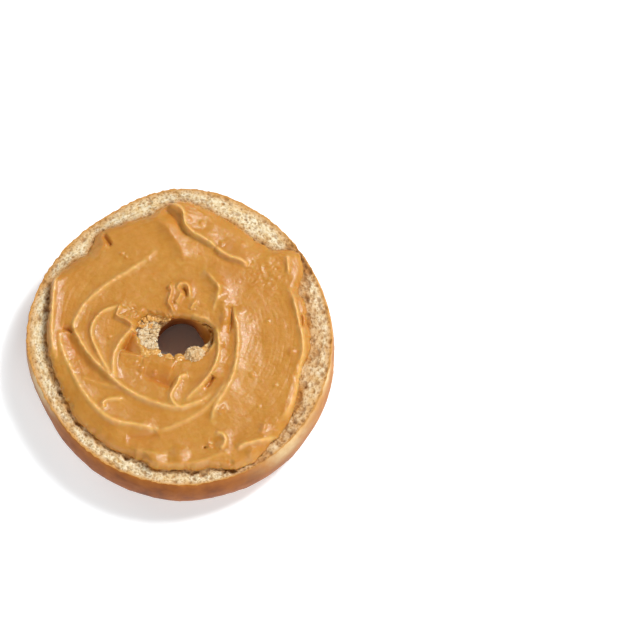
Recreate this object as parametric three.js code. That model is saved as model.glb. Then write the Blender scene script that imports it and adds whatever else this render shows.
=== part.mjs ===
// Half a bagel lying cut side up, spread with peanut butter that a knife has left in swirls.
import * as THREE from 'three';

// Sizes are in millimetres. Angles are in degrees, counter-clockwise from +X as seen from above.
// A list of radii or widths is evenly spaced round the ring, starting at +X.

// Bread: the cut rim, the crust that stands out below it, the flat foot and the hole.
const CUT_HEIGHT = 19;
const RIM_RADIUS = 57;
const RIM_RADII = [56.8, 56.2, 58, 60, 56.6, 56.4, 56.6, 54, 55, 57, 57.8, 57.6];
const SIDE_BULGE = 0.8;
const FRONT_BULGE = 3.1;
const BULGE_HANDLE = 1.8; // the curve handle that makes a bulge of 1
const FULLEST_HEIGHT = 13;
const FOOT_OUTER = 45;
const FOOT_INNER = 24;
const HOLE_RADIUS = 8.5;
const LIP_RADII = [11.8, 9.6, 8.2, 7.8, 7.7, 8.4, 8.3, 8.9, 8.2, 7.6, 6.6, 9];
const THROAT_RADII = [9, 8, 8.6, 8.8, 8.6, 8.6, 8.8, 8.8, 8.6, 8.4, 8.2, 9];
const THROAT_HEIGHT = 11;
const THROAT_FLARE = 0.3;

// Torn crumb: a bare ledge that slopes into the hole, a chunk on the lip and shallow unevenness.
const LEDGE = { angle: 178, spread: 62, reach: 15.5, drop: 3 };
const CHUNK = { x: 6, y: -7, radius: 4.2, height: 3.4 };
const CRUMB_DIP = 0.5;
const CRUMB_WAVE = 4.6;

// Peanut butter: the bread left bare outside its edge, its edge at the hole and its thickness.
const BARE_RIM = [
  7.8, 7.4, 2.8, 5.2, 10, 8.5, 6, 8.8, 6, 7.8, 4.6, 6.7,
  7.6, 7.3, 6.1, 5.2, 5.2, 6.2, 5, 4.4, 1.4, 4, 7.2, 9.5,
];
const INNER_RADII = [13.4, 11.6, 9.6, 8.9, 10.4, 14, 15.6, 13.4, 11.8, 10.8, 14.4, 14];
const EDGE_WAVE = 0.35;
const EDGE_WAVES_ROUND = [13, 23];
const SPREAD = 2.9;
const THINNEST = 1.2;
const EDGE_ROUND = 2.4;
const EDGE_LIFT = 0.7;
const UNDERCUT = 0.8;
const BREAD_GAP = 0.1;

// Ridges that the knife left: the sweep of angles, the radii along it, the height of the crest,
// and how far the spread falls away toward the hole (inner) and toward the rim (outer).
const STROKES = [
  // The tall lip along the left edge.
  { from: 150, to: 192, radii: [51.8, 49.8, 47.6, 46.8, 45.8], height: 2.6, inner: 2.4, outer: 1.4 },
  // The long swirl round the left of the hole, the trough outside it and the swirls inside it.
  {
    from: 105, to: 300, radii: [34.7, 31.6, 33.3, 37.3, 36.9, 32.1, 29.3, 28.3, 28.5, 28.3, 26.2],
    height: 1.9, inner: 1.5, outer: 1.9,
  },
  { from: 179, to: 214, radii: [41.5, 38.1, 35, 32.4], height: -1.1, inner: 1.7, outer: 2 },
  { from: 154, to: 215, radii: [24.2, 31.1, 31.7, 29.9, 29.4], height: 1.7, inner: 1.7, outer: 1.3 },
  { from: 171, to: 219, radii: [16, 20.9, 25.6, 28.9], height: 1.7, inner: 1.4, outer: 1.6 },
  // The step beside them, the crest beside the hole and the nick in the left edge.
  { from: 153, to: 173, radii: [24.4, 24.2, 24, 18.2, 15.7], height: 1.7, inner: 3.4, outer: 1.2 },
  { from: 172, to: 215, radii: [16.2, 15.7, 15.8], height: 1.3, inner: 1.4, outer: 1.8 },
  { from: 177, to: 178, radii: [43, 41, 39], height: -1.2, inner: 1.2, outer: 1.4 },
  // The broad ridge across the lower left, and the thin lines that carry on from it.
  {
    from: 179, to: 261, radii: [44, 42.1, 41.2, 41.3, 38.9, 37.8],
    height: 2.2, inner: 3.2, outer: 1.8,
  },
  { from: 225, to: 241, radii: [36.3, 32.5, 30.3, 28.8], height: 1, inner: 1.3, outer: 1.3 },
  { from: 246, to: 259, radii: [43.9, 42, 40.8], height: -0.9, inner: 1.5, outer: 1.5 },
  { from: 260, to: 314, radii: [38.4, 33.5, 29.6, 25.8], height: 1, inner: 1.5, outer: 1.2 },
  // The big ridge on the right of the hole, and the ring ridge between the two.
  {
    from: 291, to: 388, radii: [35.9, 28.3, 24.8, 22.7, 21.9, 22.4],
    height: 2.2, inner: 1.9, outer: 2.4,
  },
  { from: 277, to: 370, radii: [26.5, 21, 17.9, 15.5, 14], height: 1.9, inner: 1.4, outer: 1.6 },
  { from: 268, to: 286, radii: [27.5, 22, 17, 15.4], height: 1.2, inner: 1.3, outer: 1.3 },
  // The thick fold at the back and the small one at its end.
  {
    from: 69, to: 96, radii: [36.7, 37.7, 38.6, 39.8, 42.5, 50.2, 53.3],
    height: 3.2, inner: 1.2, outer: 4,
  },
  { from: 46, to: 69, radii: [37.1, 36.2, 35.5, 36.6], height: 1.6, inner: 1.2, outer: 1.8 },
  // The soft facet on the fold's left and the sharper one behind the hole.
  { from: 87, to: 108, radii: [29, 36.6, 42.6, 46.8, 48.6], height: 1.7, inner: 1.6, outer: 3 },
  { from: 36, to: 68, radii: [16.3, 19.3, 23.4, 24.6, 26.7], height: 2.2, inner: 2, outer: 2.8 },
  // The lip of the right edge, the low ridges along the front and the slit at the upper left.
  {
    from: 321, to: 384, radii: [50.9, 48.7, 46.8, 45.8, 44.6, 44.6],
    height: 1.4, inner: 1.6, outer: 1.2,
  },
  { from: 251, to: 267, radii: [47.1, 47, 46.7], height: 1, inner: 1.2, outer: 1.6 },
  { from: 260, to: 293, radii: [50.8, 50.5, 49.8, 50.2], height: 0.8, inner: 1.2, outer: 1.2 },
  { from: 296, to: 312, radii: [49.7, 50.7, 53.5], height: 1.1, inner: 1.6, outer: 1.2 },
  { from: 126, to: 127, radii: [49.4, 47, 44.7], height: -1.4, inner: 1.2, outer: 1.2 },
];
const STROKE_STEPS = 28;
const CREST_ROUND = 0.6;
const STROKE_TAPER = 0.16; // the share of a stroke over which each end fades

// Blobs (height above zero) and pits (below) dropped by the knife.
const BLOBS = [
  { x: 14, y: -40, radius: 4, height: 1 },
  { x: 27.5, y: -46, radius: 3.4, height: 0.8 },
  { x: 3, y: -46, radius: 3.8, height: 0.9 },
  { x: -5, y: -47.5, radius: 3.6, height: 0.9 },
  { x: 10.5, y: -43.5, radius: 2.2, height: -1 },
  { x: 42, y: -7, radius: 2.6, height: 0.8 },
  { x: 32.5, y: -37, radius: 3.6, height: 0.7 },
  { x: -14, y: -13, radius: 2.8, height: 0.7 },
  { x: -17, y: -4.5, radius: 3.4, height: -0.8 },
  { x: -3.5, y: 19.5, radius: 2.8, height: 1 },
  { x: -3.5, y: 13, radius: 3, height: 1.2 },
  { x: 0.8, y: 19.6, radius: 2.6, height: 1.3 },
  { x: 2.8, y: 16.8, radius: 2.2, height: -1.1 },
  { x: 9.5, y: 17.5, radius: 6, height: -0.9 },
  { x: 17.2, y: 11, radius: 4.4, height: 0.8 },
];

// How finely the two rings are divided: round the ring and across their sections.
const BREAD_SLICES = 64;
const CUT_ROWS = 14;
const CUT_CROWDING = 0.8;
const CRUST_ROWS = 7;
const THROAT_ROWS = 6;
const LIP_ROWS = 3;
const SPREAD_SLICES = 144;
const TOP_ROWS = 30;
const TOP_CROWDING = 0.25;

const { degToRad, euclideanModulo, lerp, smoothstep } = THREE.MathUtils;
const FULL_TURN = 2 * Math.PI;

// A smooth closed curve through values that are evenly spaced round the ring.
function roundTheRing(values) {
  const points = values.map((value) => new THREE.Vector3(value));
  const curve = new THREE.CatmullRomCurve3(points, true, 'catmullrom');
  return (angle) => curve.getPoint(euclideanModulo(angle / FULL_TURN, 1)).x;
}

// Even steps from start to end that crowd together at both ends.
function crowdedSteps(start, end, count, crowding) {
  const steps = [];
  for (let i = 0; i <= count; i++) {
    const t = i / count;
    steps.push(lerp(start, end, t - crowding * Math.sin(FULL_TURN * t) / FULL_TURN));
  }
  return steps;
}

// A smooth mound of height 1 that falls to nothing at the given radius.
function mound(dx, dy, radius) {
  const inside = Math.max(0, 1 - (dx * dx + dy * dy) / (radius * radius));
  return inside * inside;
}

// A closed section turned round +Z, each vertex then moved to place(radius, height, angle).
// Sections run outward along the top, so they are reversed for their faces to point out.
function turnedRing(section, slices, place) {
  const ring = new THREE.LatheGeometry([...section, section[0]].reverse(), slices);
  ring.rotateX(Math.PI / 2);
  const position = ring.getAttribute('position');
  for (let i = 0; i < position.count; i++) {
    const x = position.getX(i);
    const y = position.getY(i);
    const angle = Math.atan2(y, x);
    const placed = place(Math.hypot(x, y), position.getZ(i), angle);
    position.setXYZ(i, placed.radius * Math.cos(angle), placed.radius * Math.sin(angle), placed.height);
  }
  ring.computeVertexNormals();
  return ring;
}

const rimRadius = roundTheRing(RIM_RADII);
const lipRadius = roundTheRing(LIP_RADII);
const throatRadius = roundTheRing(THROAT_RADII);

// The bread's section before it is pulled out of round: cut face, crust, foot and hole wall.
function breadSection() {
  const section = crowdedSteps(HOLE_RADIUS, RIM_RADIUS, CUT_ROWS, CUT_CROWDING)
    .map((radius) => new THREE.Vector2(radius, CUT_HEIGHT));
  const fullest = RIM_RADIUS + BULGE_HANDLE * FRONT_BULGE;
  const crust = new THREE.CubicBezierCurve(
    new THREE.Vector2(RIM_RADIUS, CUT_HEIGHT),
    new THREE.Vector2(fullest, FULLEST_HEIGHT),
    new THREE.Vector2(fullest, 0),
    new THREE.Vector2(FOOT_OUTER, 0),
  );
  const throat = new THREE.CubicBezierCurve(
    new THREE.Vector2(FOOT_INNER, 0),
    new THREE.Vector2(lerp(HOLE_RADIUS, FOOT_INNER, THROAT_FLARE), 0),
    new THREE.Vector2(HOLE_RADIUS, THROAT_FLARE * THROAT_HEIGHT),
    new THREE.Vector2(HOLE_RADIUS, THROAT_HEIGHT),
  );
  section.push(...crust.getPoints(CRUST_ROWS).slice(1));
  section.push(...throat.getPoints(THROAT_ROWS));
  for (let i = 1; i < LIP_ROWS; i++) {
    section.push(new THREE.Vector2(HOLE_RADIUS, lerp(THROAT_HEIGHT, CUT_HEIGHT, i / LIP_ROWS)));
  }
  return section;
}

// How far the torn crumb lies below the cut plane, or above it where the chunk stands.
function crumbDrop(radius, angle) {
  const x = radius * Math.cos(angle);
  const y = radius * Math.sin(angle);
  const waves = Math.sin(x / CRUMB_WAVE + Math.sin(y / CRUMB_WAVE)) * Math.cos(y / CRUMB_WAVE - 1);
  const turned = Math.cos(angle - degToRad(LEDGE.angle));
  const onLedge = smoothstep(turned, Math.cos(degToRad(LEDGE.spread)), 1);
  const intoHole = 1 - smoothstep(radius, lipRadius(angle), LEDGE.reach);
  const chunk = CHUNK.height * mound(x - CHUNK.x, y - CHUNK.y, CHUNK.radius);
  return CRUMB_DIP * (0.5 + 0.5 * waves) + LEDGE.drop * onLedge * intoHole - chunk;
}

function bagelHalf() {
  const place = (radius, height, angle) => {
    const swell = lerp(SIDE_BULGE, FRONT_BULGE, Math.max(0, -Math.sin(angle))) / FRONT_BULGE;
    const nearCut = smoothstep(height, THROAT_HEIGHT, CUT_HEIGHT);
    const hole = lerp(throatRadius(angle), lipRadius(angle), nearCut);
    const rim = rimRadius(angle);
    const across = (Math.min(radius, RIM_RADIUS) - HOLE_RADIUS) / (RIM_RADIUS - HOLE_RADIUS);
    const beyondRim = Math.max(0, radius - RIM_RADIUS) * swell;
    const placed = lerp(hole, rim, across) + beyondRim;
    const torn = Math.max(0, (height - THROAT_HEIGHT) / (CUT_HEIGHT - THROAT_HEIGHT));
    return { radius: placed, height: height - torn * crumbDrop(placed, angle) };
  };
  const crust = new THREE.MeshStandardMaterial({ color: 0xb97a3e, roughness: 0.6, metalness: 0 });
  const mesh = new THREE.Mesh(turnedRing(breadSection(), BREAD_SLICES, place), crust);
  mesh.name = 'bagel_half';
  return mesh;
}

const bareRim = roundTheRing(BARE_RIM);
const innerRadius = roundTheRing(INNER_RADII);

// The spread's uneven outer edge.
function outerRadius(angle) {
  const wave = EDGE_WAVES_ROUND.reduce((sum, count) => sum + Math.sin(count * angle + count), 0);
  return rimRadius(angle) - bareRim(angle) + EDGE_WAVE * wave;
}

// The height that one knife stroke adds at a point of the spread.
function knifeStroke({ from, to, radii, height, inner, outer }) {
  const points = radii.map((radius, i) => {
    const angle = degToRad(lerp(from, to, i / (radii.length - 1)));
    return new THREE.Vector2(radius * Math.cos(angle), radius * Math.sin(angle));
  });
  const crest = new THREE.SplineCurve(points).getPoints(STROKE_STEPS);
  const step = new THREE.Vector2();
  const offset = new THREE.Vector2();
  return (spot) => {
    let nearest = Infinity;
    let side = 0;
    let along = 0;
    for (let i = 0; i < STROKE_STEPS; i++) {
      step.subVectors(crest[i + 1], crest[i]);
      offset.subVectors(spot, crest[i]);
      const t = THREE.MathUtils.clamp(offset.dot(step) / step.lengthSq(), 0, 1);
      const turn = step.cross(offset);
      const distance = offset.addScaledVector(step, -t).length();
      if (distance < nearest) {
        nearest = distance;
        side = turn;
        along = (i + t) / STROKE_STEPS;
      }
    }
    const fall = side > 0 ? inner : outer;
    const rounded = Math.hypot(nearest, CREST_ROUND) - CREST_ROUND;
    const ends = smoothstep(Math.min(along, 1 - along), -0.5 * STROKE_TAPER, STROKE_TAPER);
    return height * ends * Math.exp(-rounded / fall);
  };
}

const strokes = STROKES.map(knifeStroke);

// The thickness of the spread away from its edges.
function spreadThickness(spot) {
  const ridges = strokes.reduce((sum, stroke) => sum + stroke(spot), 0);
  const blobs = BLOBS.reduce(
    (sum, blob) => sum + blob.height * mound(spot.x - blob.x, spot.y - blob.y, blob.radius),
    0,
  );
  return Math.max(THINNEST, SPREAD + ridges + blobs);
}

// A quarter round that rises from 0 at the edge to 1 at EDGE_ROUND from it.
function roundedEdge(distance) {
  const short = 1 - Math.min(1, Math.max(0, distance) / EDGE_ROUND);
  return Math.sqrt(1 - short * short);
}

// The spread's section: 1 to 2 from the hole's side to the rim's, at height 0 underneath and 1 on top.
function spreadSection() {
  const top = crowdedSteps(1, 2, TOP_ROWS, TOP_CROWDING).map((across) => new THREE.Vector2(across, 1));
  const underside = [2, 1.5, 1].map((across) => new THREE.Vector2(across, 0));
  return [...top, ...underside];
}

function peanutButter() {
  const base = CUT_HEIGHT + BREAD_GAP;
  const spot = new THREE.Vector2();
  const place = (across, level, angle) => {
    const hole = innerRadius(angle);
    const rim = outerRadius(angle);
    if (level < 0.5) {
      return { radius: lerp(hole + UNDERCUT, rim - UNDERCUT, across - 1), height: base };
    }
    const radius = lerp(hole, rim, across - 1);
    spot.set(radius * Math.cos(angle), radius * Math.sin(angle));
    const rounding = roundedEdge(radius - hole) * roundedEdge(rim - radius);
    const rise = (spreadThickness(spot) - EDGE_LIFT) * rounding;
    return { radius, height: base + EDGE_LIFT + rise };
  };
  const spread = new THREE.MeshStandardMaterial({ color: 0xd5984e, roughness: 0.4, metalness: 0 });
  const mesh = new THREE.Mesh(turnedRing(spreadSection(), SPREAD_SLICES, place), spread);
  mesh.name = 'peanut_butter';
  return mesh;
}

// The half, centred over its own footprint with its foot at height 0.
const bagel = new THREE.Group();
bagel.add(bagelHalf(), peanutButter());
const middle = new THREE.Box3().setFromObject(bagel).getCenter(new THREE.Vector3());
bagel.position.set(-middle.x, -middle.y, 0);

export default bagel;
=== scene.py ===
# %% [markdown]
# # Half a bagel spread with peanut butter
# A bagel is a ring of dough, boiled and then baked, so it has a smooth brown crust outside and
# pale, open crumb inside. Here it is cut level, laid crust down and spread with a knife.
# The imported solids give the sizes. This lesson gives each of them its fine surface: pores in the
# crumb, blisters on the crust, and the knife's ridges in the spread.

# %% Load the frame
import math

import bmesh
import bpy
import numpy as np
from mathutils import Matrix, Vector, kdtree, noise


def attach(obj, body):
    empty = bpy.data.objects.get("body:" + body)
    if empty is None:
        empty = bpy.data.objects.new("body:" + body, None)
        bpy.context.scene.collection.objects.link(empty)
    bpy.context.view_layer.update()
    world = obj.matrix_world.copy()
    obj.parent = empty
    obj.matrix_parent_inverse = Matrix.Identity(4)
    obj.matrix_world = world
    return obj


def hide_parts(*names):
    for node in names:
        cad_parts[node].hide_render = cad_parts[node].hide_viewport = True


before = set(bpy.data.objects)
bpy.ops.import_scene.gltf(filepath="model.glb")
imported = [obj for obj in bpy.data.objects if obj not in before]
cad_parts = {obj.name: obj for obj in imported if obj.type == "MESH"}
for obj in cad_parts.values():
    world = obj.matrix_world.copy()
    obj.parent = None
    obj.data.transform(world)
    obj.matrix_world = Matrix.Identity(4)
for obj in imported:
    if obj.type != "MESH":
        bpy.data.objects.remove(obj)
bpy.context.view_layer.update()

# %% [markdown]
# ## Working in millimetres round a ring
# Everything here is a ring that isn't quite round. It is easiest to describe by an angle, counted
# counter-clockwise from +X, and a radius. A list of radii is evenly spaced round the ring, and a
# closed Catmull-Rom curve runs smoothly through them, so a dozen numbers give a whole outline.
# Shapes are worked out in millimetres about the ring's own middle and turned to metres at the end.

# %% Ring helpers
MM = 0.001
TURN = 2 * math.pi
RING_MIDDLE = (-0.148, -0.330)
SEED = 11
rng = np.random.default_rng(SEED)


def round_the_ring(values):
    """A smooth closed curve through values that are evenly spaced round the ring."""
    knots = np.asarray(values, float)

    def at(angle):
        place = np.mod(np.asarray(angle) / TURN, 1) * len(knots)
        first = np.floor(place).astype(int)
        t = place - first
        a, b, c, d = (knots[(first + step) % len(knots)] for step in (-1, 0, 1, 2))
        return b + 0.5 * t * (c - a + t * (2 * a - 5 * b + 4 * c - d + t * (3 * (b - c) + d - a)))

    return at


def wobble(angle, counts, size):
    """Uneven waves round the ring: one for each count, all of the same size."""
    return size * sum(np.sin(count * angle + count) for count in counts)


def smooth(value, low, high):
    """0 below low, 1 above high and an even S between them."""
    t = np.clip((value - low) / (high - low), 0, 1)
    return t * t * (3 - 2 * t)


def mound(dx, dy, radius):
    """A smooth hump of height 1 that falls to nothing at the given radius."""
    return np.clip(1 - (dx**2 + dy**2) / radius**2, 0, 1) ** 2


def lumps(points, size):
    """Blender's own noise, from -1 to 1, with lumps of about the given size.

    A number added to the points reads another part of the noise, so two layers don't line up.
    """
    return np.array([noise.noise(Vector(point) / size) for point in points])


halfway = round_the_ring([10, 12])(TURN / 4)
print("a ring of radii 10 and 12 has, a quarter of the way round,", halfway.round(2))

# %% [markdown]
# ## Turning a section
# A lathe shape in Blender is a few vertices joined into a section and spun round an axis. With
# use_merge the last copy is welded to the first, so the ring closes without a seam. The section's
# rows lie close together only where detail will be pressed into them.

# %% Turn a ring and read it back
def turned_ring(section, steps):
    """Spins a closed section of (radius, height) pairs round Z."""
    bm = bmesh.new()
    row = [bm.verts.new((radius, 0, height)) for radius, height in section]
    edges = [bm.edges.new((row[i - 1], row[i])) for i in range(len(row))]
    bmesh.ops.spin(
        bm, geom=row + edges, cent=(0, 0, 0), axis=(0, 0, 1), angle=TURN, steps=steps,
        use_merge=True,
    )
    bmesh.ops.remove_doubles(bm, verts=bm.verts, dist=1e-4)
    bmesh.ops.recalc_face_normals(bm, faces=bm.faces)
    return bm


def bezier_rows(start, first, second, end, count):
    """Points along a cubic curve, without its first one."""
    t = np.linspace(0, 1, count + 1)[1:, None]
    start, first, second, end = (np.array(point, float) for point in (start, first, second, end))
    return (
        (1 - t) ** 3 * start
        + 3 * t * (1 - t) ** 2 * first
        + 3 * t**2 * (1 - t) * second
        + t**3 * end
    )


def as_polar(points):
    """Each point's radius and angle."""
    return np.hypot(points[:, 0], points[:, 1]), np.arctan2(points[:, 1], points[:, 0])


def on_circle(angle, radius):
    """The place at each angle on a level circle."""
    return radius * np.column_stack([np.cos(angle), np.sin(angle), np.zeros(len(angle))])


def mesh_piece(name, bm, points, attributes):
    """Makes the piece from a bmesh whose vertices move to points, given in millimetres."""
    mesh = bpy.data.meshes.new(name)
    bm.to_mesh(mesh)
    bm.free()
    placed = (points + np.array([*RING_MIDDLE, 0])) * MM
    mesh.vertices.foreach_set("co", placed.ravel())
    for label, values in attributes.items():
        values = np.asarray(values, np.float32)
        kind, field = ("FLOAT_VECTOR", "vector") if values.ndim == 2 else ("FLOAT", "value")
        mesh.attributes.new(label, kind, "POINT").data.foreach_set(field, values.ravel())
    mesh.update()
    mesh.shade_smooth()
    piece = bpy.data.objects.new(name, mesh)
    bpy.context.collection.objects.link(piece)
    triangles = sum(len(face.vertices) - 2 for face in mesh.polygons)
    print(name, "vertices:", len(mesh.vertices), "triangles:", triangles)
    return piece


trial = turned_ring([(2, 0), (3, 0), (3, 1), (2, 1)], 8)
print("a square section in 8 steps:", len(trial.verts), "vertices,", len(trial.faces), "faces")
trial.free()

# %% [markdown]
# ## The bread's form
# The half is a flat cut face, a crust that bulges out below the rim and tucks under to a flat foot,
# and a hole whose torn lip is uneven. The rim was measured every 30 degrees. One section is turned
# and then pulled out of round, so all of its rows follow the same outlines.

# %% The bread's sizes and section
CUT_HEIGHT = 19
RIM_RADIUS = 57
SIDE_BULGE = 0.8
FRONT_BULGE = 3.1
BULGE_HANDLE = 1.8
FULLEST_HEIGHT = 13
FOOT_OUTER = 45
FOOT_INNER = 24
HOLE_RADIUS = 8.5
THROAT_HEIGHT = 11
THROAT_FLARE = 0.3
LIP_ZONE = 17.5
BARE_ZONE = 43
ROWS = {"lip": 26, "covered": 6, "band": 10, "crust": 28, "foot": 3, "throat": 10, "wall": 12}

rim_radius = round_the_ring([56.8, 56.2, 58, 60, 56.6, 56.4, 56.6, 54, 55, 57, 57.8, 57.6])
lip_radius = round_the_ring([11.8, 9.6, 8.2, 7.8, 7.7, 8.4, 8.3, 8.9, 8.2, 7.6, 6.6, 9])
throat_radius = round_the_ring([9, 8, 8.6, 8.8, 8.6, 8.6, 8.8, 8.8, 8.6, 8.4, 8.2, 9])


def bread_section():
    """The section before it is pulled out of round: outward along the cut and back below."""
    radii = np.concatenate([
        np.linspace(HOLE_RADIUS, LIP_ZONE, ROWS["lip"], endpoint=False),
        np.linspace(LIP_ZONE, BARE_ZONE, ROWS["covered"], endpoint=False),
        np.linspace(BARE_ZONE, RIM_RADIUS, ROWS["band"] + 1),
    ])
    cut = np.column_stack([radii, np.full(len(radii), CUT_HEIGHT)])
    fullest = RIM_RADIUS + BULGE_HANDLE * FRONT_BULGE
    handles = (fullest, FULLEST_HEIGHT), (fullest, 0)
    crust = bezier_rows(cut[-1], *handles, (FOOT_OUTER, 0), ROWS["crust"])
    foot = np.linspace((FOOT_OUTER, 0), (FOOT_INNER, 0), ROWS["foot"] + 1)[1:]
    flare = HOLE_RADIUS + THROAT_FLARE * (FOOT_INNER - HOLE_RADIUS)
    handles = (flare, 0), (HOLE_RADIUS, THROAT_FLARE * THROAT_HEIGHT)
    throat_top, lip = (HOLE_RADIUS, THROAT_HEIGHT), (HOLE_RADIUS, CUT_HEIGHT)
    throat = bezier_rows(foot[-1], *handles, throat_top, ROWS["throat"])
    wall = np.linspace(throat_top, lip, ROWS["wall"] + 1)[1:-1]
    return np.vstack([cut, crust, foot, throat, wall])


print("bread rows to turn:", len(bread_section()))

# %% [markdown]
# The crumb shows only in the bare band inside the rim, so only those faces are divided again. That
# keeps the whole piece light and still leaves vertices a third of a millimetre apart for the pores.

# %% Turn the bread
BREAD_STEPS = 380
BAND_CUTS = 3
NEARLY = 0.1

bread_bm = turned_ring(bread_section(), BREAD_STEPS)
band_edges = {
    edge
    for face in bread_bm.faces
    if all(v.co.z + NEARLY > CUT_HEIGHT and v.co.xy.length + NEARLY > BARE_ZONE for v in face.verts)
    for edge in face.edges
}
bmesh.ops.subdivide_edges(bread_bm, edges=list(band_edges), cuts=BAND_CUTS, use_grid_fill=True)
bread_rest = np.array([v.co for v in bread_bm.verts])
print("bread vertices after dividing the band:", len(bread_rest))

# %% [markdown]
# ## Pulling the bread out of round
# Each vertex knows where it lay on the even section. Between the hole and the rim its radius is
# stretched to the measured outlines, and what lay beyond the rim is swelled most at the front.
# The torn crumb round the hole sags to the left, and a chunk of it stands up on the lip.

# %% Place the bread's vertices
LEDGE = {"angle": 178, "spread": 62, "reach": 15.5, "drop": 3}
CHUNK = {"x": 6, "y": -7, "radius": 4.2, "height": 3.4}
CRUMB_DIP = 0.5
CRUMB_WAVE = 4.6
RIM_TEAR = {"depth": 0.4, "height": 3, "size": 2.6, "fine_size": 1.1, "fine_share": 0.6}


def crumb_drop(x, y):
    """How far the torn crumb lies below the cut plane, or above it where the chunk stands."""
    radius = np.hypot(x, y)
    angle = np.arctan2(y, x)
    waves = np.sin(x / CRUMB_WAVE + np.sin(y / CRUMB_WAVE)) * np.cos(y / CRUMB_WAVE - 1)
    turned = np.cos(angle - math.radians(LEDGE["angle"]))
    on_ledge = smooth(turned, math.cos(math.radians(LEDGE["spread"])), 1)
    into_hole = 1 - smooth(radius, lip_radius(angle), LEDGE["reach"])
    chunk = CHUNK["height"] * mound(x - CHUNK["x"], y - CHUNK["y"], CHUNK["radius"])
    return CRUMB_DIP * (0.5 + 0.5 * waves) + LEDGE["drop"] * on_ledge * into_hole - chunk


def pulled_out_of_round(rest):
    """The bread's vertices moved from the even section to the measured outlines."""
    even_radius, angle = as_polar(rest)
    height = rest[:, 2]
    swell = SIDE_BULGE + (FRONT_BULGE - SIDE_BULGE) * np.clip(-np.sin(angle), 0, 1)
    near_cut = smooth(height, THROAT_HEIGHT, CUT_HEIGHT)
    hole = throat_radius(angle) + (lip_radius(angle) - throat_radius(angle)) * near_cut
    ring = on_circle(angle, RIM_RADIUS)
    at_rim = smooth(height, CUT_HEIGHT - RIM_TEAR["height"], CUT_HEIGHT)
    fine_tear = RIM_TEAR["fine_share"] * lumps(ring + 70, RIM_TEAR["fine_size"])
    tear = RIM_TEAR["depth"] * at_rim * (lumps(ring, RIM_TEAR["size"]) + fine_tear)
    rim = rim_radius(angle) + tear
    across = (np.minimum(even_radius, RIM_RADIUS) - HOLE_RADIUS) / (RIM_RADIUS - HOLE_RADIUS)
    beyond = np.maximum(0, even_radius - RIM_RADIUS) * swell / FRONT_BULGE
    radius = hole + (rim - hole) * across + beyond
    x, y = radius * np.cos(angle), radius * np.sin(angle)
    torn = np.maximum(0, (height - THROAT_HEIGHT) / (CUT_HEIGHT - THROAT_HEIGHT))
    return np.column_stack([x, y, height - torn * crumb_drop(x, y)])


bread_points = pulled_out_of_round(bread_rest)
on_cut = bread_rest[:, 2] > CUT_HEIGHT - NEARLY
print("bread box, mm:", bread_points.min(0).round(1), bread_points.max(0).round(1))

# %% [markdown]
# ## The spread's outline
# The knife stopped short of the rim, by more in some places than in others, and dragged thin tabs
# of spread almost to it. The bare width was measured every 7.5 degrees. The crumb needs this
# outline too, for its stains, so it comes first.

# %% The spread's edges
bare_rim = round_the_ring([
    7.8, 8.7, 7.4, 8.2, 2.8, 1.4, 7.8, 9.8, 10, 9.4, 8.5, 7.1, 6, 7.3, 8.8, 7.3,
    6, 4.4, 7.8, 6.7, 4.6, 4.4, 6.7, 7.4, 7.6, 7.7, 7.3, 6.7, 6.1, 5.3, 5.2, 5.7,
    5.2, 6.3, 6.4, 4.7, 5.5, 5.2, 4.7, 2.4, 1.4, 3.6, 4, 5.3, 7.2, 9, 9.5, 8.2,
])
inner_radius = round_the_ring([
    12.9, 12.2, 10.6, 8.6, 7.5, 7.1, 7.1, 7.1, 8, 11.6, 15, 16, 15.2, 14, 11, 9.6, 9.2, 8.9,
    8.9, 9.6, 10.4, 11.2, 12.2, 12.8,
])
TORN_EDGE = {"angle": 190, "spread": 50, "depth": 1.3, "size": 2}
EDGE_TEAR = {"depth": 0.6, "size": 3.6}
INNER_WAVES = {"counts": (7, 11), "size": 0.15}


def apart(angle, degrees):
    """How far an angle is from a place given in degrees, the short way round, in degrees."""
    return np.degrees(np.angle(np.exp(1j * (angle - math.radians(degrees)))))


def outer_edge(angle):
    """The spread's outer edge: the rim less the bare width, and a little unevenness."""
    ring = on_circle(angle, RIM_RADIUS)
    tear = EDGE_TEAR["depth"] * lumps(ring + 40, EDGE_TEAR["size"])
    return rim_radius(angle) - bare_rim(angle) + tear


def inner_edge(angle):
    """The spread's edge round the hole, ragged where the crumb tore on the left."""
    aside = np.abs(apart(angle, TORN_EDGE["angle"])) / TORN_EDGE["spread"]
    tear = lumps(on_circle(angle, LIP_ZONE), TORN_EDGE["size"])
    torn = TORN_EDGE["depth"] * (1 - smooth(aside, 1, 2)) * tear
    return inner_radius(angle) + wobble(angle, **INNER_WAVES) + torn


every_degree = np.radians(np.arange(360))
edge = outer_edge(every_degree)
print("spread's edge, mm from the middle:", edge.min().round(1), "to", edge.max().round(1))

# %% [markdown]
# ## Pores in the crumb
# Bread crumb is a foam, and the knife opens its bubbles. Each pore is a small oval pit pressed into
# the cut face and drawn out along the ring. Their places and sizes come from a seeded draw: in the
# bare band, a little way under the spread's edge, and on the torn crumb round the hole.

# %% Draw the pores
PORES = 2300
PORE_RADIUS = 0.24
PORE_UNEVENNESS = 0.45
PORE_LIMITS = (0.2, 0.9)
PORE_STRETCHES = (1, 1.9)
LARGER_ON_RIGHT = 0.4
UNDER_SPREAD = 1.5
RIM_WALL = 0.5
HOLE_PORES = 260
HOLE_BAND = 7


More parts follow.
